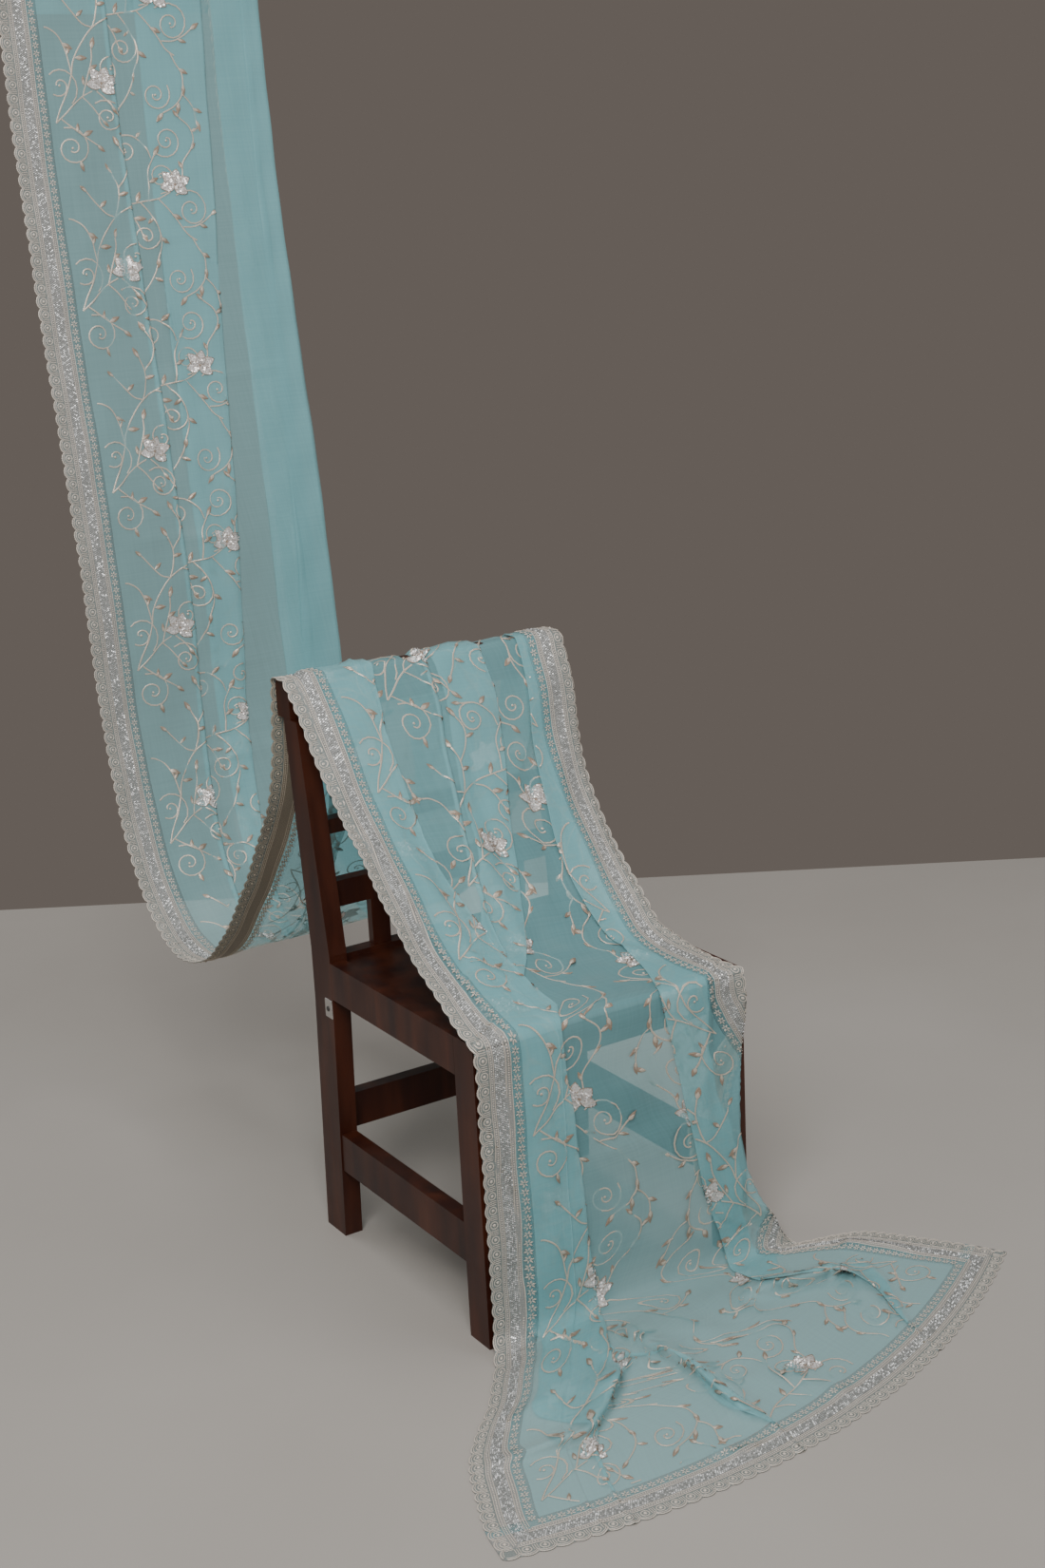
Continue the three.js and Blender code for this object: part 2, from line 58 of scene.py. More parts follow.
# The folds start this far from the hem, over this length
HEM_OPEN = 0.03
HEM_RAMP = 0.11
# Ridges are only made in cloth that is lower than this
NEAR_FLOOR = 0.03
RNG = np.random.default_rng(11)

# The chair's frame as modelled, with the seat's front edge on y = 0, moved to where the CAD has it
LEG_LOW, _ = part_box("chair_leg_front_left")
SHIFT = np.array([LEG_LOW[0] - CHAIR_LEFT, LEG_LOW[1], LEG_LOW[2]])


# Rows across the sheet in millimetres: left edge, right edge, sag of the middle, then the folds as
# distances from the left edge: a, the right edge of the pleat by the left border, d, that of the
# middle pleat, f, the left edge of the pleat by the right border. share_a and share_f say how the
# spare width is shared. turned is turned back under the right edge, inset lies inside that edge.
def row(left, right, sag, a, d, f, share_a, share_f, turned=0, inset=0):
    return [*left, *right, *sag, a, d, f, share_a, share_f, turned, inset]


def fall(z, xl, xr, *folds):
    return row((xl, -9, z), (xr, -9, z), (0, 0, 0), *folds)


# Where the cloth is level it reaches this far to each side
SPAN = 245
# The hanging length's middle pleat, and what is turned back and inset there
HUNG_PLEAT = 476
HUNG_TURNED = (100, 10)


def level(y, z, *folds):
    return row((-SPAN, y, z), (SPAN, y, z), (0, 0, 0), *folds)


def hung(y, z, a, f, share_a, share_f):
    return level(y, z, a, HUNG_PLEAT, f, share_a, share_f, *HUNG_TURNED)


def over_rail(centre_y, degrees, *folds):
    """A row over the top rail's front or back edge, whose centre is at centre_y."""
    return turn((centre_y, 852), 13.2, degrees, *folds, right=240)


def turn(centre, radius, degrees, *folds, right=SPAN):
    angle = math.radians(degrees)
    y = centre[0] + radius * math.sin(angle)
    z = centre[1] + radius * math.cos(angle)
    return row((-SPAN, y, z), (right, y, z), (0, 0, 0), *folds)


TRAIN_ROWS = [
    row((-474, -410, 1), (511, -233, 1), (20, -113, 0), 165, 424, 735, 0.33, 0.33),
    row((-462, -350, 1), (482, -180, 1), (18, -105, 0), 167, 423, 738, 0.14, 0.46),
    row((-437, -285, 1), (447, -128, 1), (15, -88, 0), 168, 400, 739, 0.08, 0.46),
    row((-408, -222, 1), (417, -86, 1), (12, -66, 0), 188, 376, 700, 0.30, 0.50),
    row((-365, -168, 1), (390, -56, 1), (8, -45, 0), 212, 323, 595, 0.90, 0.08),
    row((-318, -122, 1), (353, -40, 1), (4, -25, 0), 202, 216, 490, 0.66, 0.26),
    row((-284, -78, 1), (318, -31, 1), (0, -12, 0), 194, 190, 448, 0.52, 0.32),
    row((-260, -47, 1), (293, -25, 1), (0, -6, 0), 186, 180, 418, 0.43, 0.34),
]
FALL_ROWS = [
    row((-250, -30, 4), (283, -19, 4), (0, -3, 0), 179, 174, 409, 0.39, 0.30),
    row((-242, -18, 13), (275, -14, 13), (0, 0, 0), 174, 169, 403, 0.38, 0.20, 10),
    row((-238, -10.5, 28), (267, -10.5, 28), (0, 0, 0), 171, 166, 398, 0.38, 0.19, 25),
    fall(46, -235, 260, 167, 162, 391, 0.39, 0.20, 40),
    fall(62, -235, 250, 166, 161, 386, 0.385, 0.20, 62),
    fall(80, -235, 237, 165, 159, 379, 0.385, 0.21, 78),
    fall(96, -236, 229, 164, 158, 375, 0.38, 0.23, 82),
    fall(142, -236, 210, 160, 155, 361, 0.36, 0.27, 90),
    fall(222, -238, 198, 156, 151, 348, 0.355, 0.26, 95),
    fall(282, -239, 201, 150, 145, 335, 0.34, 0.22, 82),
    fall(324, -239, 205, 147, 142, 328, 0.325, 0.22, 62),
    fall(345, -240, 207, 144, 140, 323, 0.315, 0.22, 45),
    fall(390, -241, 212, 140, 136, 315, 0.30, 0.25, 15),
    fall(430, -242, 213, 138, 134, 308, 0.29, 0.28),
]
SWAG_ROWS = [
    row((-243, -7.5, 444), (213, -7.5, 444), (0, 0, 0), 139, 135, 307, 0.29, 0.28),
    row((-243, -4, 450.4), (213, -4, 450.4), (0, 0, 0), 142, 138, 308, 0.29, 0.28),
    row((-244, 4, 455), (211, 4, 451.8), (0, 0, -1), 147, 143, 312, 0.30, 0.30),
    row((-245, 35, 470), (208, 40, 452.5), (0, 0, -7), 165, 158, 329, 0.33, 0.36),
    row((-245, 84, 500), (210, 100, 452.5), (0, 0, -17), 161, 157, 352, 0.34, 0.33),
    row((-245, 144, 540), (215, 180, 460), (0, 0, -25), 159, 202, 369, 0.34, 0.33),
    row((-245, 200, 590), (222, 250, 500), (0, 0, -28), 152, 245, 367, 0.36, 0.36),
    row((-245, 262, 646), (229, 330, 565), (0, 0, -20), 133, 285, 370, 0.36, 0.37),
    row((-245, 318, 693), (231, 392, 645), (0, 0, -10), 127, 313, 383, 0.37, 0.32),
    row((-245, 373, 753), (233, 422, 720), (0, 0, -5), 124, 331, 388, 0.37, 0.30),
    row((-245, 421, 812), (236, 436, 788), (0, 0, 0), 137, 337, 395, 0.39, 0.29),
    row((-245, 453, 845), (237, 455, 836), (0, 0, 0), 143, 335, 398, 0.41, 0.28),
    over_rail(478, -66, 148, 334, 399, 0.42, 0.27),
    over_rail(478, -22, 150, 334, 400, 0.41, 0.26),
    over_rail(494, 22, 151, 334, 400, 0.38, 0.26),
    over_rail(494, 66, 152, 335, 400, 0.35, 0.25),
    over_rail(494, 100, 153, 336, 400, 0.32, 0.25),
]
REAR_ROWS = [
    level(510, 825, 155, 340, 400, 0.28, 0.26),
    level(520, 775, 158, 358, 400, 0.27, 0.25),
    level(531, 720, 160, 380, 402, 0.25, 0.23),
    level(548, 670, 160, 402, 398, 0.21, 0.25),
    level(585, 610, 160, 425, 392, 0.16, 0.27),
    level(640, 535, 162, 445, 388, 0.12, 0.29),
    level(705, 455, 168, 462, 386, 0.09, 0.31, 10, 2),
    level(765, 388, 178, 472, 385, 0.08, 0.34, 30, 4),
    level(825, 339, 189, 474, 384, 0.09, 0.35, 50, 6),
    level(877, 314.5, 198, 475, 384, 0.10, 0.34, 78, 7),
    level(905, 306, 205, 475, 384, 0.10, 0.36, 83, 8),
    level(950, 301, 216, 476, 384, 0.11, 0.37, 90, 9),
]
HANGING_ROWS = [
    hung(1000, 309, 226, 384, 0.12, 0.37),
    hung(1052, 338, 236, 380, 0.14, 0.37),
    hung(1100, 388, 246, 376, 0.16, 0.37),
    hung(1140, 458, 256, 372, 0.18, 0.37),
    hung(1173, 550, 266, 368, 0.21, 0.38),
    hung(1198, 660, 276, 364, 0.25, 0.38),
    hung(1212, 790, 288, 364, 0.29, 0.38),
    hung(1226, 930, 300, 366, 0.34, 0.37),
    hung(1250, 1100, 315, 370, 0.40, 0.35),
    hung(1278, 1270, 330, 374, 0.45, 0.33),
    hung(1301, 1440, 345, 378, 0.49, 0.31),
    hung(1320, 1600, 356, 381, 0.52, 0.30),
    hung(1332, 1760, 364, 383, 0.54, 0.29),
    hung(1336.7, 1900, 368, 384, 0.55, 0.29),
]
ROD_CENTRE = (1350, 1990)
ROD_TURN = 13.6
END_FOLDS = (368, HUNG_PLEAT, 384, 0.55, 0.29, *HUNG_TURNED)
END_ROWS = [
    level(1336.7, 1984, *END_FOLDS),
    turn(ROD_CENTRE, ROD_TURN, -66, *END_FOLDS),
    turn(ROD_CENTRE, ROD_TURN, -22, *END_FOLDS),
    turn(ROD_CENTRE, ROD_TURN, 22, *END_FOLDS),
    turn(ROD_CENTRE, ROD_TURN, 66, *END_FOLDS),
    level(1363.8, 1920, *END_FOLDS),
    level(1364.8, 1840, *END_FOLDS),
]
# Two narrow pleats, as their distance along the cloth, their place and their width in metres
LEFT_NIP = np.array([
    (0.00, 0.130, 0.0), (1.62, 0.130, 0.0), (1.72, 0.130, 0.008), (2.30, 0.145, 0.009),
    (2.60, 0.168, 0.009), (2.95, 0.192, 0.009), (3.40, 0.190, 0.009), (4.34, 0.178, 0.008),
])
MIDDLE_NIP = np.array([
    (0.00, 0.165, 0.0), (1.03, 0.165, 0.0), (1.10, 0.172, 0.005), (1.20, 0.192, 0.007),
    (1.30, 0.208, 0.007), (1.45, 0.228, 0.007), (1.60, 0.232, 0.007), (1.66, 0.232, 0.0),
    (4.34, 0.232, 0.0),
])
ROWS = np.array(TRAIN_ROWS + FALL_ROWS + SWAG_ROWS + REAR_ROWS + HANGING_ROWS + END_ROWS, float)
SHARES = (12, 13)
MM_COLUMNS = [i for i in range(ROWS.shape[1]) if i not in SHARES]
ROWS[:, MM_COLUMNS] /= MM
COUNTS = [len(r) for r in (TRAIN_ROWS, FALL_ROWS, SWAG_ROWS, REAR_ROWS, HANGING_ROWS, END_ROWS)]


def bulged(left, right, sag, share):
    bulge = 4 * share * (1 - share)
    return left + (right - left) * share[..., None] + sag * bulge[..., None]


def row_width(line):
    shares = np.linspace(0, 1, 25)
    pts = bulged(line[0:3], line[3:6], line[6:9], shares)
    return np.linalg.norm(np.diff(pts, axis=0), axis=1).sum()


ROWS = np.column_stack([ROWS, [row_width(r) for r in ROWS]])
MIDDLES = np.array([bulged(r[0:3], r[3:6], r[6:9], np.array(0.5)) for r in ROWS])
ROW_S = np.concatenate([[0], np.cumsum(np.linalg.norm(np.diff(MIDDLES, axis=0), axis=1))])
LENGTH = ROW_S[-1]


def monotone_slopes(x, y):
    """Slopes for a smooth curve through the rows that never swings past them."""
    step = np.diff(x)[:, None]
    rise = np.diff(y, axis=0) / step
    slopes = np.zeros_like(y)
    before, after = rise[:-1], rise[1:]
    weight = (step[:-1] + 2 * step[1:]) / (3 * (step[:-1] + step[1:]))
    same = before * after > 0
    low = np.where(same, weight * after + (1 - weight) * before, 1)
    slopes[1:-1] = np.where(same, before * after / low, 0)
    slopes[0], slopes[-1] = rise[0], rise[-1]
    return slopes


ROW_SLOPES = monotone_slopes(ROW_S, ROWS)


def rows_at(s):
    s = np.asarray(s, float)
    i = np.clip(np.searchsorted(ROW_S, s) - 1, 0, len(ROW_S) - 2)
    h = (ROW_S[i + 1] - ROW_S[i])[:, None]
    x = ((s - ROW_S[i])[:, None]) / h
    x = np.clip(x, -0.5, 1.5)
    a, b = ROWS[i], ROWS[i + 1]
    ma, mb = ROW_SLOPES[i] * h, ROW_SLOPES[i + 1] * h
    x2, x3 = x * x, x * x * x
    return (2 * x3 - 3 * x2 + 1) * a + (x3 - 2 * x2 + x) * ma + (3 * x2 - 2 * x3) * b + (x3 - x2) * mb


def smooth(x):
    x = np.clip(x, 0, 1)
    return x * x * (3 - 2 * x)


def nip_at(table, s):
    return np.interp(s, table[:, 0], table[:, 1]), np.interp(s, table[:, 0], table[:, 2])


class Folds:
    """The runs of the sheet across each of many places along it, and how they lie over each other."""

    # From the topmost run to the lowest, and the runs that pass below another at a fold
    ORDER = [0, 1, 2, 3, 4, 5, 6, 7, 10, 9, 8, 11]
    RUNS = len(ORDER)
    LIES_UNDER = np.zeros((RUNS, RUNS), dtype=bool)
    for rank, upper in enumerate(ORDER):
        LIES_UNDER[upper, ORDER[rank + 1:]] = True

    def __init__(self, s):
        p = rows_at(s)
        self.left, self.right, self.sag = p[:, 0:3], p[:, 3:6], p[:, 6:9]
        a, d, f, share_a, share_f, turned, inset, self.width = (p[:, i] for i in range(9, 17))
        left_place, left_nip = nip_at(LEFT_NIP, s)
        place, nip = nip_at(MIDDLE_NIP, s)
        hinge = self.width - inset
        spare = np.maximum((CLOTH_WIDTH - hinge - turned) / 2 - left_nip - nip, 0.006)
        spare = spare * smooth((s - HEM_OPEN) / HEM_RAMP)
        back_a = a - spare * share_a
        back_d = d - spare * (1 - share_a - share_f)
        back_f = f + spare * share_f
        place = np.clip(place, back_a, d - nip)
        ends = [np.zeros_like(a), left_place + left_nip, left_place, a, back_a, place + nip, place, d, back_d,
                back_f, f, hinge, hinge - turned]
        self.ends = np.stack(ends, axis=1)
        spans = np.abs(np.diff(self.ends, axis=1))
        self.ways = np.concatenate([np.zeros((len(a), 1)), np.cumsum(spans, axis=1)], axis=1)

    def height(self, run, u):
        """How far the run is lifted at u by all the runs that lie under it."""
        total = np.zeros_like(u)
        reach = COVER_MARGIN + COVER_RAMP
        for k in range(self.RUNS):
            low = self.ends[:, k:k + 2].min(axis=1)
            high = self.ends[:, k:k + 2].max(axis=1)
            cover = smooth((u - low + reach) / COVER_RAMP) * smooth((high + reach - u) / COVER_RAMP)
            counts = self.LIES_UNDER[run, k] & (high - low > 0.001)
            total += np.where(counts, cover, 0)
        return LAYER * total

    def place(self, t):
        """The place u across the row and the height over it, for the way t across the cloth."""
        rows = np.arange(len(t))
        t = t * self.ways[:, -1] / CLOTH_WIDTH
        run = np.clip((self.ways < t[:, None]).sum(axis=1) - 1, 0, self.RUNS - 1)
        start, end = self.ends[rows, run], self.ends[rows, run + 1]
        u = start + np.sign(end - start + 1e-12) * (t - self.ways[rows, run])
        h = self.height(run, u)
        bends = [(run - 1, start, end, t - self.ways[rows, run]),
                 (run + 1, end, start, self.ways[rows, run + 1] - t)]
        for other, edge, far, gap in bends:
            other = np.clip(other, 0, self.RUNS - 1)
            span = np.minimum(np.abs(edge - far), self.ways[rows, other + 1] - self.ways[rows, other])
            here, there = self.height(run, edge), self.height(other, edge)
            radius = np.maximum(np.abs(here - there) / 2, 0.0004)
            near = (other != run) & (span > 0.002) & (gap < radius)
            turned_by = np.clip(gap / radius, 0, 1) * math.pi / 2
            bent_u = edge + np.sign(far - edge + 1e-12) * radius * (1 - np.cos(turned_by))
            bent_h = (here + there) / 2 + (here - there) / 2 * np.sin(turned_by)
            u = np.where(near, bent_u, u)
            h = np.where(near, bent_h, h)
        return u, h


# Creases and soft folds that run along the cloth, in millimetres: from s to s, from u to u at their
# two ends, the swing of the line between them, their half width and their height
CREASES = np.array([
    (620, 840, 205, 225, 4, 6, 3.5), (480, 860, 255, 242, -6, 7, 4), (550, 860, 292, 280, 5, 8, -4),
    (460, 740, 180, 176, 0, 7, -3), (500, 860, 98, 105, 6, 12, 3), (460, 700, 330, 322, 4, 8, 4),
    (600, 860, 372, 350, 6, 10, 3), (470, 620, 222, 236, 4, 5, 3), (950, 1360, 100, 92, 8, 15, 5),
    (980, 1400, 205, 230, 6, 10, 4), (1050, 1420, 262, 262, -4, 12, -4), (960, 1200, 262, 300, 4, 9, 4),
    (930, 1180, 230, 352, -4, 6, 3), (1020, 1400, 345, 365, -6, 8, -4), (1000, 1380, 405, 430, 6, 12, 4),
    (950, 1100, 395, 330, 4, 8, 3), (1500, 2050, 120, 130, 10, 16, 5), (1500, 2150, 215, 240, 12, 16, -5),
    (1520, 2000, 300, 330, -10, 18, 6), (1500, 1950, 400, 420, 8, 14, -4),
    (2200, 3100, 110, 118, 10, 18, 5), (2300, 3900, 195, 180, 14, 12, -5),
    (2350, 3300, 262, 285, -12, 14, 6), (2600, 3950, 345, 338, 6, 12, -4), (2200, 3950, 412, 405, 4, 12, 5),
    (2400, 3950, 448, 452, -4, 8, -3), (3000, 3950, 95, 110, -6, 16, 5), (2900, 3900, 232, 226, 10, 16, 5),
]) / MM
# Soft creases that cross the cloth: their place along it, the u they span, half width and height
CROSS_CREASES = np.array([
    (2705, 80, 480, 5, 2.2), (2742, 160, 440, 4, -1.8), (2620, 70, 250, 6, 2), (2865, 90, 360, 5, 1.5),
    (3105, 70, 300, 6, 1.6), (3380, 120, 460, 6, 1.6), (3620, 70, 330, 6, 1.4), (2500, 100, 340, 5, 2),
    (1020, 140, 380, 6, 2), (885, 140, 310, 3, 1.2), (1720, 100, 400, 6, 1.8), (1930, 50, 300, 6, 1.6),
]) / MM
# Ridges on the floor: their (x, y) points in the chair's frame, half width and height in
# millimetres, and how far the ridge leans for its height
RIDGES = [
    ([(-85, -55), (-56, -87), (-42, -152), (-37, -219), (-46, -297), (-55, -360), (-66, -421)],
     13, 21, (-1.1, -0.5)),
    ([(-196, -192), (-186, -182), (-130, -148), (-99, -147), (-77, -171), (-60, -200)],
     11, 12, (0.0, -1.0)),
    ([(164, -60), (152, -92), (207, -114), (270, -121), (278, -155), (261, -224), (237, -290), (222, -330)],
     15, 24, (-0.75, -0.9)),
    ([(-130, -130), (-151, -153), (-200, -205), (-254, -245), (-302, -240), (-343, -236),
      (-381, -233), (-420, -235)], 12, 18, (0.3, -1.2)),
    ([(-170, -360), (-148, -375), (-118, -395), (-86, -401), (-60, -390)], 7, 6, (0.0, -0.5)),
    ([(-30, -50), (20, -120), (60, -210)], 12, 7, (0.0, 0.0)),
    ([(90, -50), (105, -150), (110, -260)], 16, 6, (0.0, 0.0)),
    ([(330, -60), (372, -100), (420, -165)], 12, 10, (-0.5, -0.5)),
    ([(-330, -170), (-250, -160), (-200, -130)], 14, 6, (0.0, 0.0)),
    ([(0, -250), (60, -330), (90, -420)], 18, 6, (0.0, 0.0)),
]


def line_distance(x, y, points):
    best = np.full(x.shape, 9.0)
    along = np.zeros(x.shape)
    total = 0.0
    spans = [math.dist(p, q) for p, q in zip(points, points[1:])]
    for (px, py), (qx, qy), span in zip(points, points[1:], spans):
        share = np.clip(((x - px) * (qx - px) + (y - py) * (qy - py)) / span ** 2, 0, 1)
        gap = np.hypot(x - px - share * (qx - px), y - py - share * (qy - py))
        along = np.where(gap < best, total + share * span, along)
        best = np.minimum(best, gap)
        total += span
    return best, along / total


def creasing(s, u, base):
    """How far the cloth is lifted by its creases, and how far it leans over at its ridges."""
    out = np.zeros_like(s)
    leaning = np.zeros_like(base)
    for s0, s1, u0, u1, swing, half, high in CREASES:
        x = (s - s0) / (s1 - s0)
        centre = u0 + (u1 - u0) * x + swing * np.sin(x * 5.0)
        window = smooth(x / 0.2) * smooth((1 - x) / 0.2)
        out += high * window * np.exp(-(((u - centre) / half) ** 2))
    for at, u0, u1, half, high in CROSS_CREASES:
        bend = at + 0.006 * np.sin(u * 23 + at * 40) + 0.02 * (u - u0)
        window = smooth((u - u0) / 0.05) * smooth((u1 - u) / 0.05)
        out += high * window * np.exp(-(((s - bend) / half) ** 2))
    near_floor = base[:, 2] < NEAR_FLOOR
    x, y = base[:, 0], base[:, 1]
    for points, half, high, (lean_x, lean_y) in RIDGES:
        gap, share = line_distance(x, y, np.array(points) / MM)
        body = high / MM * smooth(share / 0.15) * smooth((1 - share) / 0.45)
        body = body * np.exp(-((gap / (half / MM)) ** 2))
        body = np.where(near_floor, body * smooth((NEAR_FLOOR - base[:, 2]) / NEAR_FLOOR), 0)
        out += body
        leaning += body[:, None] * np.array([lean_x, lean_y, 0.0])
    waver = 0.0012 * np.sin(s * 21 + u * 33) + 0.0008 * np.sin(s * 47 - u * 58 + 1.3)
    out += waver * smooth((base[:, 2] - 0.02) / 0.05)
    return out, leaning


def base_point(s, share):
    p = rows_at(s)
    return bulged(p[:, 0:3], p[:, 3:6], p[:, 6:9], share)


def unit(v):
    return v / np.maximum(np.linalg.norm(v, axis=-1, keepdims=True), 1e-12)


def point(s, t):
    """The cloth's surface in the row's frame, for arrays of s and t."""
    folds = Folds(s)
    u, h = folds.place(t)
    share = u / folds.width
    base = bulged(folds.left, folds.right, folds.sag, share)
    across = base_point(s, share + 0.01) - base_point(s, share - 0.01)
    along = base_point(s + 0.003, share) - base_point(s - 0.003, share)
    face = unit(np.cross(across, along))
    lift, leaning = creasing(s, u, base)
    return base + face * (h + lift)[:, None] + leaning + SHIFT


def surface(s, t):
    """Points and unit normals of the cloth's face."""
    here = point(s, t)
    step_t, step_s = 0.0004, 0.001
    dt = point(s, t + step_t) - point(s, t - step_t)
    ds = point(s + step_s, t) - point(s - step_s, t)
    return here, unit(np.cross(dt, ds))


# Materials
def new_material(name):
    material = bpy.data.materials.new(name)
    material.use_nodes = True
    return material, material.node_tree.nodes, material.node_tree.links


def shader_of(nodes):
    return next(n for n in nodes if n.type == "BSDF_PRINCIPLED")


def set_inputs(node, values):
    for name, value in values.items():
        node.inputs[name].default_value = value


def noise(nodes, links, source, scale, stretch, detail=3.0):
    mapping = nodes.new("ShaderNodeMapping")
    set_inputs(mapping, {"Scale": stretch})
    links.new(source, mapping.inputs["Vector"])
    tex = nodes.new("ShaderNodeTexNoise")
    set_inputs(tex, {"Scale": scale, "Detail": detail})
    links.new(mapping.outputs["Vector"], tex.inputs["Vector"])
    return tex


def uv_places(nodes, layer):
    node = nodes.new("ShaderNodeUVMap")
    node.uv_map = layer
    return node.outputs["UV"]


def ramp(nodes, links, source, stops):
    node = nodes.new("ShaderNodeValToRGB")
    elements = node.color_ramp.elements
    elements[0].position, elements[0].color = stops[0][0], (*stops[0][1], 1)
    elements[1].position, elements[1].color = stops[-1][0], (*stops[-1][1], 1)
    for place, colour in stops[1:-1]:
        elements.new(place).color = (*colour, 1)
    links.new(source, node.inputs["Fac"])
    return node


def bump(nodes, links, source, strength, distance, shader):
    node = nodes.new("ShaderNodeBump")
    set_inputs(node, {"Strength": strength, "Distance": distance})
    links.new(source, node.inputs["Height"])
    links.new(node.outputs["Normal"], shader.inputs["Normal"])


def organza():
    material, nodes, links = new_material("organza")
    shader = shader_of(nodes)
    flat = uv_places(nodes, "flat")
    streaks = noise(nodes, links, flat, 1.0, (260.0, 5.0, 1.0))
    weft = noise(nodes, links, flat, 1.0, (4.0, 340.0, 1.0))
    mix = nodes.new("ShaderNodeMath")
    mix.operation = "ADD"
    links.new(streaks.outputs["Fac"], mix.inputs[0])
    links.new(weft.outputs["Fac"], mix.inputs[1])
    half = nodes.new("ShaderNodeMath")
    half.operation = "MULTIPLY"
    half.inputs[1].default_value = 0.5
    links.new(mix.outputs["Value"], half.inputs[0])
    tint = ramp(nodes, links, half.outputs["Value"],
                [(0.35, (0.235, 0.540, 0.585)), (0.65, (0.255, 0.570, 0.615))])
    links.new(tint.outputs["Color"], shader.inputs["Base Color"])
    clear = nodes.new("ShaderNodeMapRange")
    set_inputs(clear, {"From Min": 0.3, "From Max": 0.7, "To Min": 0.42, "To Max": 0.46})
    links.new(half.outputs["Value"], clear.inputs["Value"])
    links.new(clear.outputs["Result"], shader.inputs["Alpha"])
    set_inputs(shader, {"Roughness": 0.42, "Specular IOR Level": 0.35, "Sheen Weight": 0.25,
                        "Sheen Roughness": 0.4, "Sheen Tint": (0.75, 0.95, 0.95, 1)})
    bump(nodes, links, half.outputs["Value"], 0.03, 0.0003, shader)
    return material


def lace_ground(name, edge_colour, band_colour, inner_colour, edge_cover):
    """A net whose colour and cover change across the border, from its edge to the cloth."""
    tints = [(0.00, edge_colour), (0.30, edge_colour), (0.32, band_colour), (0.74, band_colour),
             (0.76, inner_colour), (1.00, (0.25, 0.55, 0.60))]
    covers = [(0.00, edge_cover), (0.30, edge_cover), (0.32, 0.9), (0.74, 0.9), (0.78, 0.30), (1.00, 0.26)]
    material, nodes, links = new_material(name)
    shader = shader_of(nodes)
    split = nodes.new("ShaderNodeSeparateXYZ")
    links.new(uv_places(nodes, "edge"), split.inputs["Vector"])
    net = noise(nodes, links, uv_places(nodes, "flat"), 1.0, (620.0, 620.0, 1.0), 2.0)
    tint = ramp(nodes, links, split.outputs["X"], tints)
    shade = ramp(nodes, links, net.outputs["Fac"], [(0.35, (0.65, 0.65, 0.65)), (0.65, (1.0, 1.0, 1.0))])
    mix = nodes.new("ShaderNodeMix")
    mix.data_type = "RGBA"
    mix.blend_type = "MULTIPLY"
    mix.inputs["Factor"].default_value = 1.0
    links.new(tint.outputs["Color"], mix.inputs["A"])
    links.new(shade.outputs["Color"], mix.inputs["B"])
    colour = next(o for o in mix.outputs if o.type == "RGBA")
    links.new(colour, shader.inputs["Base Color"])
    cover = ramp(nodes, links, split.outputs["X"], [(place, (share,) * 3) for place, share in covers])
    links.new(cover.outputs["Color"], shader.inputs["Alpha"])
    set_inputs(shader, {"Roughness": 0.55})
    bump(nodes, links, net.outputs["Fac"], 0.4, 0.0006, shader)
    return material


def thread(name, light, dark, metallic, roughness):
    material, nodes, links = new_material(name)
    shader = shader_of(nodes)
    twist = noise(nodes, links, uv_places(nodes, "flat"), 1.0, (900.0, 900.0, 1.0), 2.0)
    tint = ramp(nodes, links, twist.outputs["Fac"], [(0.35, dark), (0.65, light)])
    links.new(tint.outputs["Color"], shader.inputs["Base Color"])
    set_inputs(shader, {"Metallic": metallic, "Roughness": roughness})
    bump(nodes, links, twist.outputs["Fac"], 0.35, 0.0005, shader)
    return material


def wood(name, light, dark, deep):
    material, nodes, links = new_material(name)
    shader = shader_of(nodes)
    coords = nodes.new("ShaderNodeTexCoord")
    grain = noise(nodes, links, coords.outputs["Object"], 3.0, (9.0, 9.0, 1.6), 6.0)
    tint = ramp(nodes, links, grain.outputs["Fac"], [(0.3, deep), (0.5, dark), (0.72, light)])
    links.new(tint.outputs["Color"], shader.inputs["Base Color"])
    wear = noise(nodes, links, coords.outputs["Object"], 14.0, (1.0, 1.0, 1.0), 4.0)
    rough = nodes.new("ShaderNodeMapRange")
    set_inputs(rough, {"To Min": 0.30, "To Max": 0.52})
    links.new(wear.outputs["Fac"], rough.inputs["Value"])
    links.new(rough.outputs["Result"], shader.inputs["Roughness"])
    set_inputs(shader, {"Specular IOR Level": 0.3, "Coat Weight": 0.12, "Coat Roughness": 0.3})
    bump(nodes, links, grain.outputs["Fac"], 0.12, 0.001, shader)
    return material


CLOTH = organza()
LACE = lace_ground("lace_ground", (0.30, 0.34, 0.33), (0.33, 0.34, 0.33), (0.26, 0.50, 0.54), 0.72)
LACE_BACK = lace_ground("lace_reverse", (0.20, 0.22, 0.20), (0.27, 0.23, 0.17), (0.20, 0.42, 0.44), 0.75)
CREAM = thread("thread_cream", (0.66, 0.61, 0.54), (0.42, 0.37, 0.32), 0.2, 0.45)
GOLDEN = thread("thread_golden", (0.56, 0.50, 0.40), (0.36, 0.31, 0.24), 0.2, 0.45)
SILVER = thread("thread_champagne", (0.66, 0.59, 0.50), (0.44, 0.38, 0.31), 0.35, 0.38)
COPPER = thread("thread_copper", (0.40, 0.31, 0.24), (0.25, 0.185, 0.14), 0.35, 0.40)
SPANGLE = thread("sequin_silver", (0.88, 0.86, 0.85), (0.62, 0.59, 0.57), 0.45, 0.28)
LACE_SPANGLE = thread("sequin_lace", (0.72, 0.73, 0.73), (0.50, 0.51, 0.51), 0.35, 0.30)
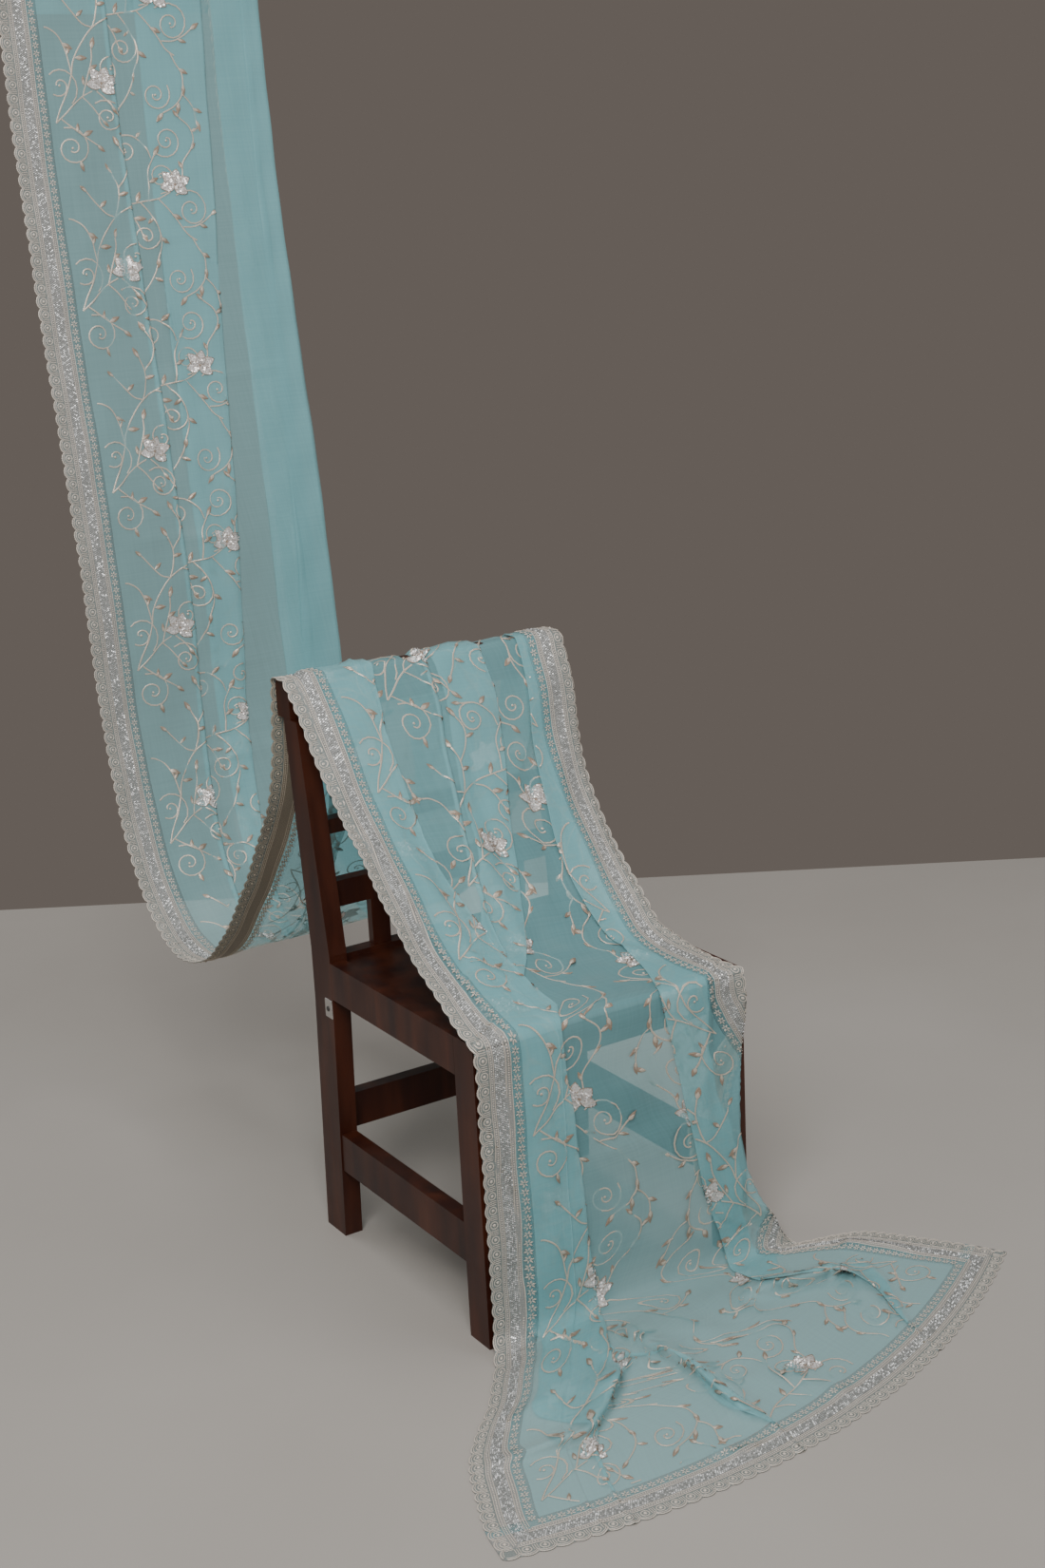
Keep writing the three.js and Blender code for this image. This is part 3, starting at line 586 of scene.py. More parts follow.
MAHOGANY = wood("wood_mahogany", (0.070, 0.017, 0.007), (0.038, 0.009, 0.004), (0.018, 0.004, 0.003))
BRUSHED = thread("metal_plate", (0.62, 0.61, 0.59), (0.44, 0.43, 0.41), 0.8, 0.35)
BLACKENED = thread("metal_screw", (0.09, 0.085, 0.08), (0.05, 0.05, 0.05), 0.6, 0.45)
PALE_WOOD = wood("wood_light", (0.46, 0.31, 0.18), (0.38, 0.25, 0.14), (0.29, 0.18, 0.10))


# Meshes
def make_object(name, verts, faces, materials, flat, face_slots=None, edge=None):
    mesh = bpy.data.meshes.new(name)
    mesh.from_pydata(np.asarray(verts).tolist(), [], [list(map(int, f)) for f in faces])
    for material in materials:
        mesh.materials.append(material)
    index = np.zeros(len(mesh.loops), dtype=np.int32)
    mesh.loops.foreach_get("vertex_index", index)
    for layer_name, places in (("flat", flat), ("edge", edge)):
        if places is not None:
            layer = mesh.uv_layers.new(name=layer_name)
            layer.data.foreach_set("uv", np.asarray(places)[index].ravel())
    if face_slots is not None:
        mesh.polygons.foreach_set("material_index", np.asarray(face_slots, dtype=np.int32))
    mesh.polygons.foreach_set("use_smooth", np.ones(len(mesh.polygons), dtype=bool))
    mesh.update()
    obj = bpy.data.objects.new(name, mesh)
    bpy.context.scene.collection.objects.link(obj)
    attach(obj, "root")
    return obj


def grid_faces(n_rows, n_cols, start=0, flip=False):
    i, j = np.meshgrid(np.arange(n_rows - 1), np.arange(n_cols - 1), indexing="ij")
    a = start + i * n_cols + j
    quads = np.stack([a, a + 1, a + n_cols + 1, a + n_cols], axis=-1).reshape(-1, 4)
    return quads[:, ::-1] if flip else quads


def eased(start, end, count):
    """Places from start to end, closer together at both ends, for arrays of starts and ends."""
    x = (1 - np.cos(np.linspace(0, math.pi, count))) / 2
    return start[:, None] + (end - start)[:, None] * x


# The cloth's lines in each run, closer together at the folds, and in what is left to its right border
RUN_LINES = (9, 4, 11, 14, 11, 4, 11, 16, 20, 15)
TAIL_LINES = 30
# Steps along the sheet, in the cloth and in the lace
CLOTH_STEP = 0.009
LACE_STEP = 0.0055


def middle_lines(s):
    ways = Folds(s).ways
    ways = ways * CLOTH_WIDTH / ways[:, -1:]
    right = CLOTH_WIDTH - BORDER
    columns = [np.full((len(s), 1), BORDER)]
    for k, count in enumerate(RUN_LINES):
        low = np.clip(ways[:, k], BORDER, right)
        high = np.clip(ways[:, k + 1], low, right)
        columns.append(eased(low, high, count)[:, 1:])
    low = np.clip(ways[:, len(RUN_LINES)], BORDER, right)
    columns.append(eased(low, np.full(len(s), right), TAIL_LINES)[:, 1:])
    return np.concatenate(columns, axis=1)


def cloth_piece(name, s_lines, t_lines):
    n, m = t_lines.shape
    s = np.repeat(s_lines, m)
    t = t_lines.ravel()
    verts = point(s, t)
    return make_object(name, verts, grid_faces(n, m), [CLOTH], np.column_stack([t, s]))


LACE_THICKNESS = 0.0005
# Lines across a border, as distances from its outer edge; a border that is folded has more of them
FLAT_LINES = np.array([0, 0.004, 0.010, 0.018, 0.026, 0.034, 0.043, 0.052, 0.061, 0.070])
FOLDED_LINES = np.concatenate([[0, 0.004], np.linspace(0.008, 0.070, 22)])


def shell_piece(name, s, t, inward, shape):
    """A thin closed strip with the lace's face on top and its reverse below."""
    n, m = shape
    top, normal = surface(s, t)
    low = top - normal * LACE_THICKNESS
    verts = np.concatenate([top, low])
    half = n * m
    faces = [grid_faces(n, m), grid_faces(n, m, half, flip=True)]
    index = np.arange(half).reshape(n, m)
    rims = [(index[0], False), (index[-1], True), (index[:, 0], True), (index[:, -1], False)]
    for rim, flip in rims:
        quads = np.stack([rim[:-1], rim[:-1] + half, rim[1:] + half, rim[1:]], axis=1)
        faces.append(quads[:, ::-1] if flip else quads)
    slots = np.concatenate([np.zeros(len(faces[0])), np.ones(len(faces[1])),
                            np.zeros(sum(len(f) for f in faces[2:]))])
    flat = np.tile(np.column_stack([t, s]), (2, 1))
    edge = np.tile(np.column_stack([inward / BORDER, np.zeros_like(inward)]), (2, 1))
    return make_object(name, verts, np.concatenate(faces), [LACE, LACE_BACK], flat, slots, edge)


SCALLOP = 0.022
SCALLOP_DEPTH = 0.0055


def scallop(x):
    """How far the border's outer edge lies inside the cloth's edge, along its length x."""
    return SCALLOP_DEPTH * (1 - np.abs(np.sin(math.pi * x / SCALLOP)) ** 0.6)


# Where each stretch starts and ends along the cloth, and what it rests on
STOPS = np.cumsum([0] + COUNTS)
STRETCHES = [
    ("train", BORDER, ROW_S[STOPS[1]], "laid", ["chair_leg_front_left"]),
    ("front_fall", ROW_S[STOPS[1]], ROW_S[STOPS[2]], "draped", ["chair_seat_rail_front"]),
    ("seat_swag", ROW_S[STOPS[2]], ROW_S[STOPS[3]], "draped", ["chair_seat_rail_front", "chair_top_rail"]),
    ("rear_drop", ROW_S[STOPS[3]], ROW_S[STOPS[4]], "draped", ["chair_top_rail"]),
    ("hanging_panel", ROW_S[STOPS[4]], ROW_S[STOPS[5]], "hung", ["hanging_rod"]),
    ("rod_end", ROW_S[STOPS[5]], LENGTH, "folded", ["hanging_rod"]),
]


def side_length(side, s_lines):
    """The length of a side border between its first and last line, along its middle."""
    t = np.full(len(s_lines), BORDER / 2 if side == "left" else CLOTH_WIDTH - BORDER / 2)
    return float(np.linalg.norm(np.diff(point(s_lines, t), axis=0), axis=1).sum())


def build_cloth():
    for name, s0, s1, held, rests in STRETCHES:
        inside = ROW_S[(ROW_S > s0 + 0.004) & (ROW_S < s1 - 0.004)]
        stops = np.concatenate([[s0], inside, [s1]])
        steps = [np.linspace(p, q, max(2, math.ceil((q - p) / CLOTH_STEP)), endpoint=False)
                 for p, q in zip(stops, stops[1:])]
        s_lines = np.concatenate([*steps, [s1]])
        cloth = cloth_piece(f"{name}_cloth", s_lines, middle_lines(s_lines))
        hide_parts(name)
        fine = np.arange(s0, s1 + LACE_STEP / 2 - 0.00005, LACE_STEP)
        fine[-1] = s1
        for side in ("left", "right"):
            q = FOLDED_LINES if side == "right" else FLAT_LINES
            edge = scallop(fine)[:, None]
            across = edge + (BORDER - edge) * (q / BORDER)
            inward = across if side == "left" else across[:, ::-1]
            t = inward if side == "left" else CLOTH_WIDTH - inward
            s = np.repeat(fine, len(q))
            strip = shell_piece(f"{name}_lace_{side}", s, t.ravel(), inward.ravel(), (len(fine), len(q)))
            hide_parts(f"{name}_border_{side}")
            side_length(side, fine)
    t_fine = np.arange(0, CLOTH_WIDTH + 0.002, 0.005)
    t_fine[-1] = CLOTH_WIDTH
    edge = scallop(t_fine)[None, :]
    s = edge + (BORDER - edge) * (FLAT_LINES[:, None] / BORDER)
    t = np.broadcast_to(t_fine, s.shape)
    hem = shell_piece("hem_lace", s.ravel(), t.ravel(), s.ravel(), s.shape)
    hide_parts("hem_border")


# Raised work: everything is drawn flat as (s, t, height) and laid on the cloth at the end
class Work:
    def __init__(self):
        self.verts, self.faces, self.count = [], [], 0

    def add(self, verts, faces):
        """Adds a mesh whose last axis is (s, t, height)."""
        verts = verts.reshape(-1, 3)
        self.verts.append(verts)
        self.faces.append(np.asarray(faces) + self.count)
        self.count += len(verts)

    def build(self, name, material, slot, reverse=False):
        """Lays the work on the cloth's face, or on the reverse of the lace."""
        flat = np.concatenate(self.verts)
        here, normal = surface(flat[:, 0], flat[:, 1])
        lift = -LACE_THICKNESS - flat[:, 2:3] if reverse else flat[:, 2:3]
        verts = here + normal * lift
        faces = [f[::-1] if reverse else f for group in self.faces for f in group]
        obj = make_object(name, verts, faces, [material], flat[:, [1, 0]])


def strips(work, s, t, width, high=0.0009, low=0.0003):
    """A raised cord along the points (s, t)."""
    s, t = np.asarray(s, float), np.asarray(t, float)
    ds, dt = np.gradient(s), np.gradient(t)
    size = np.maximum(np.hypot(ds, dt), 1e-9)
    ns, nt = -dt / size, ds / size
    half = np.broadcast_to(np.asarray(width, float), s.shape) / 2
    lines = [np.column_stack([s + side * ns * half, t + side * nt * half, np.full(s.shape, z)])
             for side, z in ((-1, low), (0, high), (1, low))]
    work.add(np.stack(lines, axis=1), grid_faces(len(s), 3))


def discs(work, s, t, radius, sides=6, z=0.0010, tilt=0.0004):
    """Small flat spangles, each tilted its own way."""
    s, t = np.atleast_1d(s), np.atleast_1d(t)
    turn_by = RNG.uniform(0, math.pi, len(s))
    lean = RNG.uniform(0, 2 * math.pi, len(s))
    angle = np.arange(sides) * 2 * math.pi / sides + turn_by[:, None]
    ss = s[:, None] + radius * np.cos(angle)
    tt = t[:, None] + radius * np.sin(angle)
    zz = z + tilt * np.cos(angle - lean[:, None])
    faces = np.arange(len(s) * sides).reshape(-1, sides)
    work.add(np.stack([ss, tt, zz], axis=-1), faces)


def beads(work, s, t, radius, z=0.0004):
    """Small round beads as low six-sided domes."""
    s, t = np.atleast_1d(s), np.atleast_1d(t)
    angle = np.arange(6) * math.pi / 3
    ss = np.concatenate([s[:, None] + radius * np.cos(angle), s[:, None]], axis=1)
    tt = np.concatenate([t[:, None] + radius * np.sin(angle), t[:, None]], axis=1)
    zz = np.broadcast_to(np.concatenate([np.full(6, z), [z + radius * 0.9]]), ss.shape)
    fan = np.array([[k, (k + 1) % 6, 6] for k in range(6)])
    faces = (np.arange(len(s)) * 7)[:, None, None] + fan
    work.add(np.stack([ss, tt, zz], axis=-1), faces.reshape(-1, 3))


def rings(work, s, t, radius, width, sides=12, z=0.0008):
    s, t = np.atleast_1d(s), np.atleast_1d(t)
    angle = np.arange(sides) * 2 * math.pi / sides
    parts = []
    for r, h in ((radius - width, 0.0003), (radius - width / 2, z), (radius, 0.0003)):
        parts.append(np.stack([s[:, None] + r * np.cos(angle), t[:, None] + r * np.sin(angle),
                               np.full((len(s), sides), h)], axis=-1))
    k = np.arange(sides)
    step = (k + 1) % sides
    quads = np.concatenate([np.stack([k + b, step + b, step + b + sides, k + b + sides], axis=1)
                            for b in (0, sides)])
    faces = (np.arange(len(s)) * 3 * sides)[:, None, None] + quads
    work.add(np.stack(parts, axis=1), faces.reshape(-1, 4)[:, ::-1])


def leaf(work, s, t, angle, size, plump=0.38, lift=0.0):
    """A pointed bud leaf whose tip points along the angle, measured from +s towards +t."""
    along = np.array([0, 0.22, 0.5, 0.78, 1.0])
    half = np.array([0.10, 0.75, 1.0, 0.62, 0.0]) * plump * size / 2
    cs, sn = math.cos(angle), math.sin(angle)
    lines = []
    for side, z in ((-1, 0.0003), (0, 0.0013), (1, 0.0003)):
        x, y = along * size, side * half
        lines.append(np.column_stack([s + x * cs - y * sn, t + x * sn + y * cs, np.full(5, z + lift)]))
    work.add(np.stack(lines, axis=1), grid_faces(5, 3))


def bud(thread_work, copper_work, s, t, angle, size):
    """A coppery leaf with a pale base."""
    leaf(copper_work, s, t, angle, size, 0.42)
    leaf(thread_work, s, t, angle, 0.62 * size, 0.46, 0.0004)


def smooth_line(points, step=0.0035):
    """A rounded line through the points."""
    p = np.asarray(points, float)
    ends = np.concatenate([[2 * p[0] - p[1]], p, [2 * p[-1] - p[-2]]])
    out = []
    for i in range(len(p) - 1):
        a, b, c, d = ends[i:i + 4]
        count = max(2, int(math.dist(b, c) / step))
        x = np.linspace(0, 1, count, endpoint=False)[:, None]
        out.append(0.5 * (2 * b + (c - a) * x + (2 * a - 5 * b + 4 * c - d) * x ** 2
                          + (3 * b - a - 3 * c + d) * x ** 3))
    out.append(p[-1:])
    return np.concatenate(out)


def spiral_line(centre, start, turns=1.65, way=1):
    """A curl that winds in from its start point to the centre, in flat (s, t) units."""
    offset = np.asarray(start, float) - np.asarray(centre, float)
    radius, first = np.hypot(*offset), math.atan2(offset[1], offset[0])
    x = np.linspace(0, 1, 26)
    r = radius * (1 - 0.86 * x ** 0.85)
    angle = first + way * x * turns * 2 * math.pi
    return np.column_stack([centre[0] + r * np.cos(angle), centre[1] + r * np.sin(angle)])


# The vine's repeat along the cloth, where its first repeat starts, and its middle column's place
REPEAT = 0.310
FIRST_REPEAT = 0.10
MIDDLE_COLUMN = 0.365
STEM_WIDTH = 0.0024
FLOWER_SIZE = 0.050
BUD_SIZE = 0.018
# One repeat in millimetres, as (along, across from the border's edge); a curl has its centre, its
# start and its way round, and a leaf or a flower the angle that it points at
STEMS = [
    # From the border up to the first flower, and its branches
    [(0, 8), (14, 26), (30, 44), (42, 62), (50, 80)],
    [(42, 62), (72, 74), (98, 84), (118, 86)],
    [(6, 18), (-8, 34), (-22, 52), (-38, 76)],
    [(42, 60), (28, 74), (14, 84), (2, 92)],
    [(50, 88), (34, 104), (16, 116), (-2, 126)],
    # The arch that leans back towards the border
    [(78, 46), (96, 44), (118, 40), (140, 30), (152, 14), (154, 0)],
    # The long stem to the second flower
    [(78, 46), (100, 52), (128, 70), (152, 92), (168, 122), (174, 156), (178, 190), (188, 214)],
    [(152, 92), (158, 76), (176, 60), (196, 44)],
    [(152, 92), (172, 100), (200, 104), (224, 96)],
    [(166, 116), (158, 134), (140, 146), (122, 152)],
    [(174, 156), (152, 172), (128, 182), (104, 184), (78, 174)],
    [(176, 172), (198, 176), (226, 178), (250, 192)],
    [(190, 226), (214, 240), (236, 244), (258, 262)],
    [(178, 190), (160, 206), (138, 222), (116, 236), (104, 252)],
    [(110, 244), (92, 252), (74, 262), (56, 262)],
    [(128, 230), (128, 252), (136, 272), (146, 286)],
    # Short side stems
    [(200, 104), (222, 120), (246, 124), (268, 114)],
    [(246, 186), (266, 178), (284, 158), (287, 132)],
    [(56, 262), (36, 256), (20, 240), (10, 218)],
    [(78, 174), (58, 168), (38, 156), (22, 142)],
    [(258, 262), (276, 270), (296, 264), (312, 246)],
    [(40, 258), (28, 270), (14, 278), (-4, 280)],
    # From the main stem back to the first one
    [(0, 8), (22, 18), (50, 34), (78, 46)],
]
SPIRALS = [
    ((-42, 30), (-8, 20), 1), ((60, 22), (30, 40), -1), ((84, 116), (60, 92), -1), ((6, 102), (30, 82), 1),
    ((156, 250), (182, 224), 1), ((116, 158), (128, 182), 1), ((214, 200), (186, 196), -1),
    ((40, 208), (56, 232), 1), ((274, 218), (254, 196), -1), ((262, 142), (286, 150), -1),
]
LEAVES = [
    (-38, 76, 2.3), (118, 86, 0.3), (2, 92, 2.4), (-2, 126, 2.4), (154, 0, -1.6), (196, 44, -0.8),
    (224, 96, -0.5), (122, 152, 2.7), (78, 174, 3.3), (250, 192, 0.6), (258, 262, 0.8), (56, 262, 3.2),
    (146, 286, 1.0), (110, 42, 0.5), (128, 36, 2.1), (84, 78, 1.1), (60, 66, 0.0), (104, 56, 1.6),
    (170, 66, 0.9), (188, 102, 1.4), (148, 142, 1.7), (146, 176, -2.2), (112, 184, 2.2), (206, 178, 1.2),
    (226, 242, -0.4), (150, 212, 2.0), (82, 258, 2.1), (130, 262, 1.9), (-22, 52, 1.2), (24, 110, 2.6),
    (-64, 40, 2.9), (46, 4, -2.4), (-16, 42, 0.2), (174, 150, 0.4), (268, 114, -0.4), (287, 132, -1.4),
    (10, 218, 3.9), (22, 142, 3.9), (312, 246, -0.7), (-4, 280, 2.9), (236, 124, 1.3), (282, 164, 0.9),
    (26, 250, 3.4), (46, 164, 2.1), (288, 268, 1.2), (16, 276, 2.0),
]
FLOWERS = [(62, 98, 0.35), (200, 224, 0.25)]


PETAL_TURN = 0.98
PETAL_LENGTHS = (0.54, 0.60, 0.54, 0.60, 0.54)
PETAL_HALF_WIDTH = 0.19
SPANGLE_ROWS = (0.20, 0.36, 0.52, 0.68, 0.82)
SPANGLE_GAP = 0.0031


def petal_half(x, size):
    """Half the width of a petal at the share x of its length."""
    return size * PETAL_HALF_WIDTH * np.sin(math.pi * x ** 0.75) ** 0.8


def flower(outline_work, spangle_work, s, t, angle, size):
    """A flower of five pointed petals, each a stitched patch filled with spangles."""
    ring = np.arange(8) * math.pi / 4
    x = np.linspace(0, 1, 9)
    for k, share_of_size in enumerate(PETAL_LENGTHS):
        lean = angle + (k - 2) * PETAL_TURN
        length = size * share_of_size
        half = petal_half(x, size)
        cs, sn = math.cos(lean), math.sin(lean)
        patch = []
        for side in (-1, 0, 1):
            patch.append(np.column_stack([s + x * length * cs - side * half * sn,
                                          t + x * length * sn + side * half * cs, np.full(9, 0.0005)]))
        spangle_work.add(np.stack(patch, axis=1), grid_faces(9, 3))
        along = np.concatenate([x, x[::-1]]) * length
        side = np.concatenate([half, -half[::-1]])
        strips(outline_work, s + along * cs - side * sn, t + along * sn + side * cs, 0.0014, 0.0014, 0.0005)
        for share in SPANGLE_ROWS:
            reach = petal_half(share, size) - 0.0014
            count = max(1, int(reach * 2 / SPANGLE_GAP) + 1)
            sides = np.linspace(-reach, reach, count) if count > 1 else np.zeros(1)
            out = np.full(count, share * length)
            discs(spangle_work, s + out * cs - sides * sn, t + out * sn + sides * cs, 0.0016,
                  z=0.0014, tilt=0.0008)
    discs(spangle_work, s + 0.004 * np.cos(ring), t + 0.004 * np.sin(ring), 0.0013, z=0.0018)


def vine(thread_work, copper_work, spangle_work, s0, t0, mirror, t_limits, s_limits):
    way = -1 if mirror else 1

    def put(points):
        p = np.asarray(points, float) / MM
        return np.column_stack([s0 + p[:, 0], t0 + way * p[:, 1]])

    def inside(p, margin=0.004):
        return ((p[:, 0] > s_limits[0] + margin) & (p[:, 0] < s_limits[1] - margin)
                & (p[:, 1] > t_limits[0] + margin) & (p[:, 1] < t_limits[1] - margin))

    def lay(line, width):
        keep = inside(line)
        runs = np.split(np.arange(len(line)), np.where(np.diff(keep.astype(int)) != 0)[0] + 1)
        for run in runs:
            if len(run) > 3 and keep[run[0]]:
                strips(thread_work, line[run, 0], line[run, 1], width)

    for stem in STEMS:
        lay(put(smooth_line(np.asarray(stem) / MM) * MM), STEM_WIDTH)
    for centre, start, curl in SPIRALS:
        line = spiral_line(centre, start, way=curl)
        lay(put(line), STEM_WIDTH)
        eye = put([centre])
        if inside(eye)[0]:
            beads(thread_work, eye[:, 0], eye[:, 1], 0.0022)
    for i, (x, y, angle) in enumerate(LEAVES):
        at = put([(x, y)])
        if inside(at, 0.010)[0]:
            size = BUD_SIZE + 0.003 * math.sin(i * 2.3)
            bud(thread_work, copper_work, at[0, 0], at[0, 1], way * angle, size)
    for x, y, angle in FLOWERS:
        at = put([(x, y)])
        if inside(at, 0.026)[0]:
            flower(copper_work, spangle_work, at[0, 0], at[0, 1], way * angle, FLOWER_SIZE)


def build_embroidery():
    threads, coppers, spangles = Work(), Work(), Work()
    low, high = BORDER + 0.002, CLOTH_WIDTH - BORDER - 0.002
    everywhere = (low, LENGTH - 0.02)
    pallu_end = ROW_S[STOPS[4]]
    count = int(LENGTH / REPEAT) + 2
    for k in range(-1, count):
        s0 = FIRST_REPEAT + k * REPEAT
        vine(threads, coppers, spangles, s0, low, False, (low, high), everywhere)
        if s0 < pallu_end + 0.3:
            edge = (everywhere[0], pallu_end)
            vine(threads, coppers, spangles, s0 + REPEAT * 0.45, MIDDLE_COLUMN, False, (low, high), edge)
            vine(threads, coppers, spangles, s0 + REPEAT * 0.2, high, True, (low, high), edge)
    threads.build("embroidery_threads", SILVER, "organza")
    coppers.build("embroidery_buds", COPPER, "organza")
    spangles.build("embroidery_spangles", SPANGLE, "organza")


# Rows of the lace, as distances from its outer edge
RING_ROW = 0.013
LADDER_ROW = (0.0085, 0.0185)
CORD_ROWS = (0.0215, 0.0275, 0.0460, 0.0525)
BEAD_ROWS = (0.0245, 0.0492)
SEQUIN_ROWS = np.linspace(0.0300, 0.0436, 6)
FLORET_ROW = 0.0608
# Gaps along the lace
BEAD_GAP = 0.0034
SEQUIN_GAP = 0.0033
FLORET_GAP = 0.013
FINE_CORD = 0.0012


def build_lace():
    """The border's raised work: a scalloped cord, medallions, ladders, beads, spangles and florets."""
    cords, jewels = Work(), Work()
    sides = [
        ("left", lambda x, q: (x, q), 0.0, LENGTH),
        ("right", lambda x, q: (x, CLOTH_WIDTH - q), 0.0, LENGTH),
        ("hem", lambda x, q: (q, x), 0.0, CLOTH_WIDTH),
    ]
    for name, place, start, end in sides:
        def allowed(x, q):
            x, q = np.broadcast_arrays(x, q)
            if name == "hem":
                return (x > q) & (x < CLOTH_WIDTH - q)
            return x > q + 0.001

        def spots(x, q):
            x = x[allowed(x, q)]
            return place(x, np.full(x.shape, q))

        def line(q, width, wave=False):
            x = np.arange(start, end, 0.00275 if wave else 0.006)
            depth = scallop(x) + q if wave else np.full(x.shape, q)
            keep = allowed(x, depth)
            x, depth = x[keep], depth[keep]
            s, t = place(x, depth)
            strips(cords, s, t, width)

        line(0.0012, 0.0020, wave=True)
        line(0.0042, FINE_CORD, wave=True)
        for q in CORD_ROWS:
            line(q, FINE_CORD)
        s, t = spots(np.arange(start + SCALLOP / 2, end, SCALLOP), RING_ROW)
        rings(cords, s, t, 0.0062, 0.0016)
        beads(cords, s, t, 0.0026)
        for shift in (-0.0028, 0, 0.0028):
            bars = np.arange(start + SCALLOP, end - 0.004, SCALLOP) + shift
            for x in bars[allowed(bars, RING_ROW)]:
                s, t = place(np.full(3, x), np.linspace(*LADDER_ROW, 3))
                strips(cords, s, t, 0.0011)
        for q in BEAD_ROWS:
            s, t = spots(np.arange(start, end, BEAD_GAP), q)
            beads(cords, s, t, 0.0012)
        for i, q in enumerate(SEQUIN_ROWS):
            s, t = spots(np.arange(start, end, SEQUIN_GAP) + (i % 2) * SEQUIN_GAP / 2, q)
            discs(jewels, s, t, 0.00125, sides=4, tilt=0.0007)
        centres = np.arange(start + 0.006, end, FLORET_GAP)
        reach = np.array([0.0014, 0.0038, 0.0060])
        for centre in centres[allowed(centres, FLORET_ROW + 0.0052)]:
            for k in range(6):
                angle = k * math.pi / 3 + 0.26
                s, t = place(centre + reach * math.cos(angle), FLORET_ROW + reach * math.sin(angle))
                strips(cords, s, t, (0.0010, 0.0024, 0.0008))
    cords.build("lace_cords", CREAM, "lace")
    jewels.build("lace_spangles", LACE_SPANGLE, "lace")
    cords.build("lace_cords_reverse", GOLDEN, "lace", reverse=True)


def dress_chair():
    for name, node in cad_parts.items():
        if name.startswith("chair_") or name == "hanging_rod":
            material = PALE_WOOD if name == "hanging_rod" else MAHOGANY
            node.data.materials.clear()
            node.data.materials.append(material)


PLATE_SIZE = (0.020, 0.029)
PLATE_BEVEL = 0.0007
SCREW_SIDES = 16


def stacked(name, outlines, material):
    """A closed block from (x, [(y, z), ...]) outlines that stand further and further out towards -X."""
    count = len(outlines[0][1])
    verts = np.array([(x, y, z) for x, outline in outlines for y, z in outline])
    faces = [(b + count + k, b + count + (k + 1) % count, b + (k + 1) % count, b + k)
             for b in range(0, count * (len(outlines) - 1), count) for k in range(count)]
    faces += [tuple(range(count)), tuple(range(len(verts) - 1, len(verts) - 1 - count, -1))]
    block = make_object(name, verts, faces, [material], verts[:, 1:3])
    for face in block.data.polygons:
        face.use_smooth = count > 4


def build_bracket():
    """The metal plate with its screw on the rear post, just under the seat rail's end."""
    post_low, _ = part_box("chair_post_left")
    rail_low, rail_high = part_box("chair_seat_rail_left")
    x, y, z = post_low[0], rail_high[1] + 0.003, rail_low[2] - 0.032

    def rectangle(inset):
        low_y, high_y = y + inset, y + PLATE_SIZE[0] - inset
        low_z, high_z = z + inset, z + PLATE_SIZE[1] - inset
        return [(low_y, low_z), (high_y, low_z), (high_y, high_z), (low_y, high_z)]

    def circle(radius):
        angles = np.arange(SCREW_SIDES) * 2 * math.pi / SCREW_SIDES
        middle_y, middle_z = y + PLATE_SIZE[0] / 2, z + PLATE_SIZE[1] / 2
        return [(middle_y + radius * math.cos(a), middle_z + radius * math.sin(a)) for a in angles]

    stacked("bracket_plate", [(x + 0.0004, rectangle(0)), (x - 0.0018, rectangle(PLATE_BEVEL))], BRUSHED)
    stacked("bracket_screw", [(x - 0.0017, circle(0.0040)), (x - 0.0028, circle(0.0040)),
                              (x - 0.0034, circle(0.0028))], BLACKENED)


# The camera's place in the chair's frame, in metres, and its turn in degrees
CAMERA_PLACE = (-1.577, -2.303, 1.574)
CAMERA_AZIMUTH = 32.0
CAMERA_PITCH = 16.07
CAMERA_ROLL = 2.89
# The floor is square to the camera, and ends behind the cloth
FLOOR_HALF = 6.0
FLOOR_FRONT = 5.0
FLOOR_BACK = 1.46


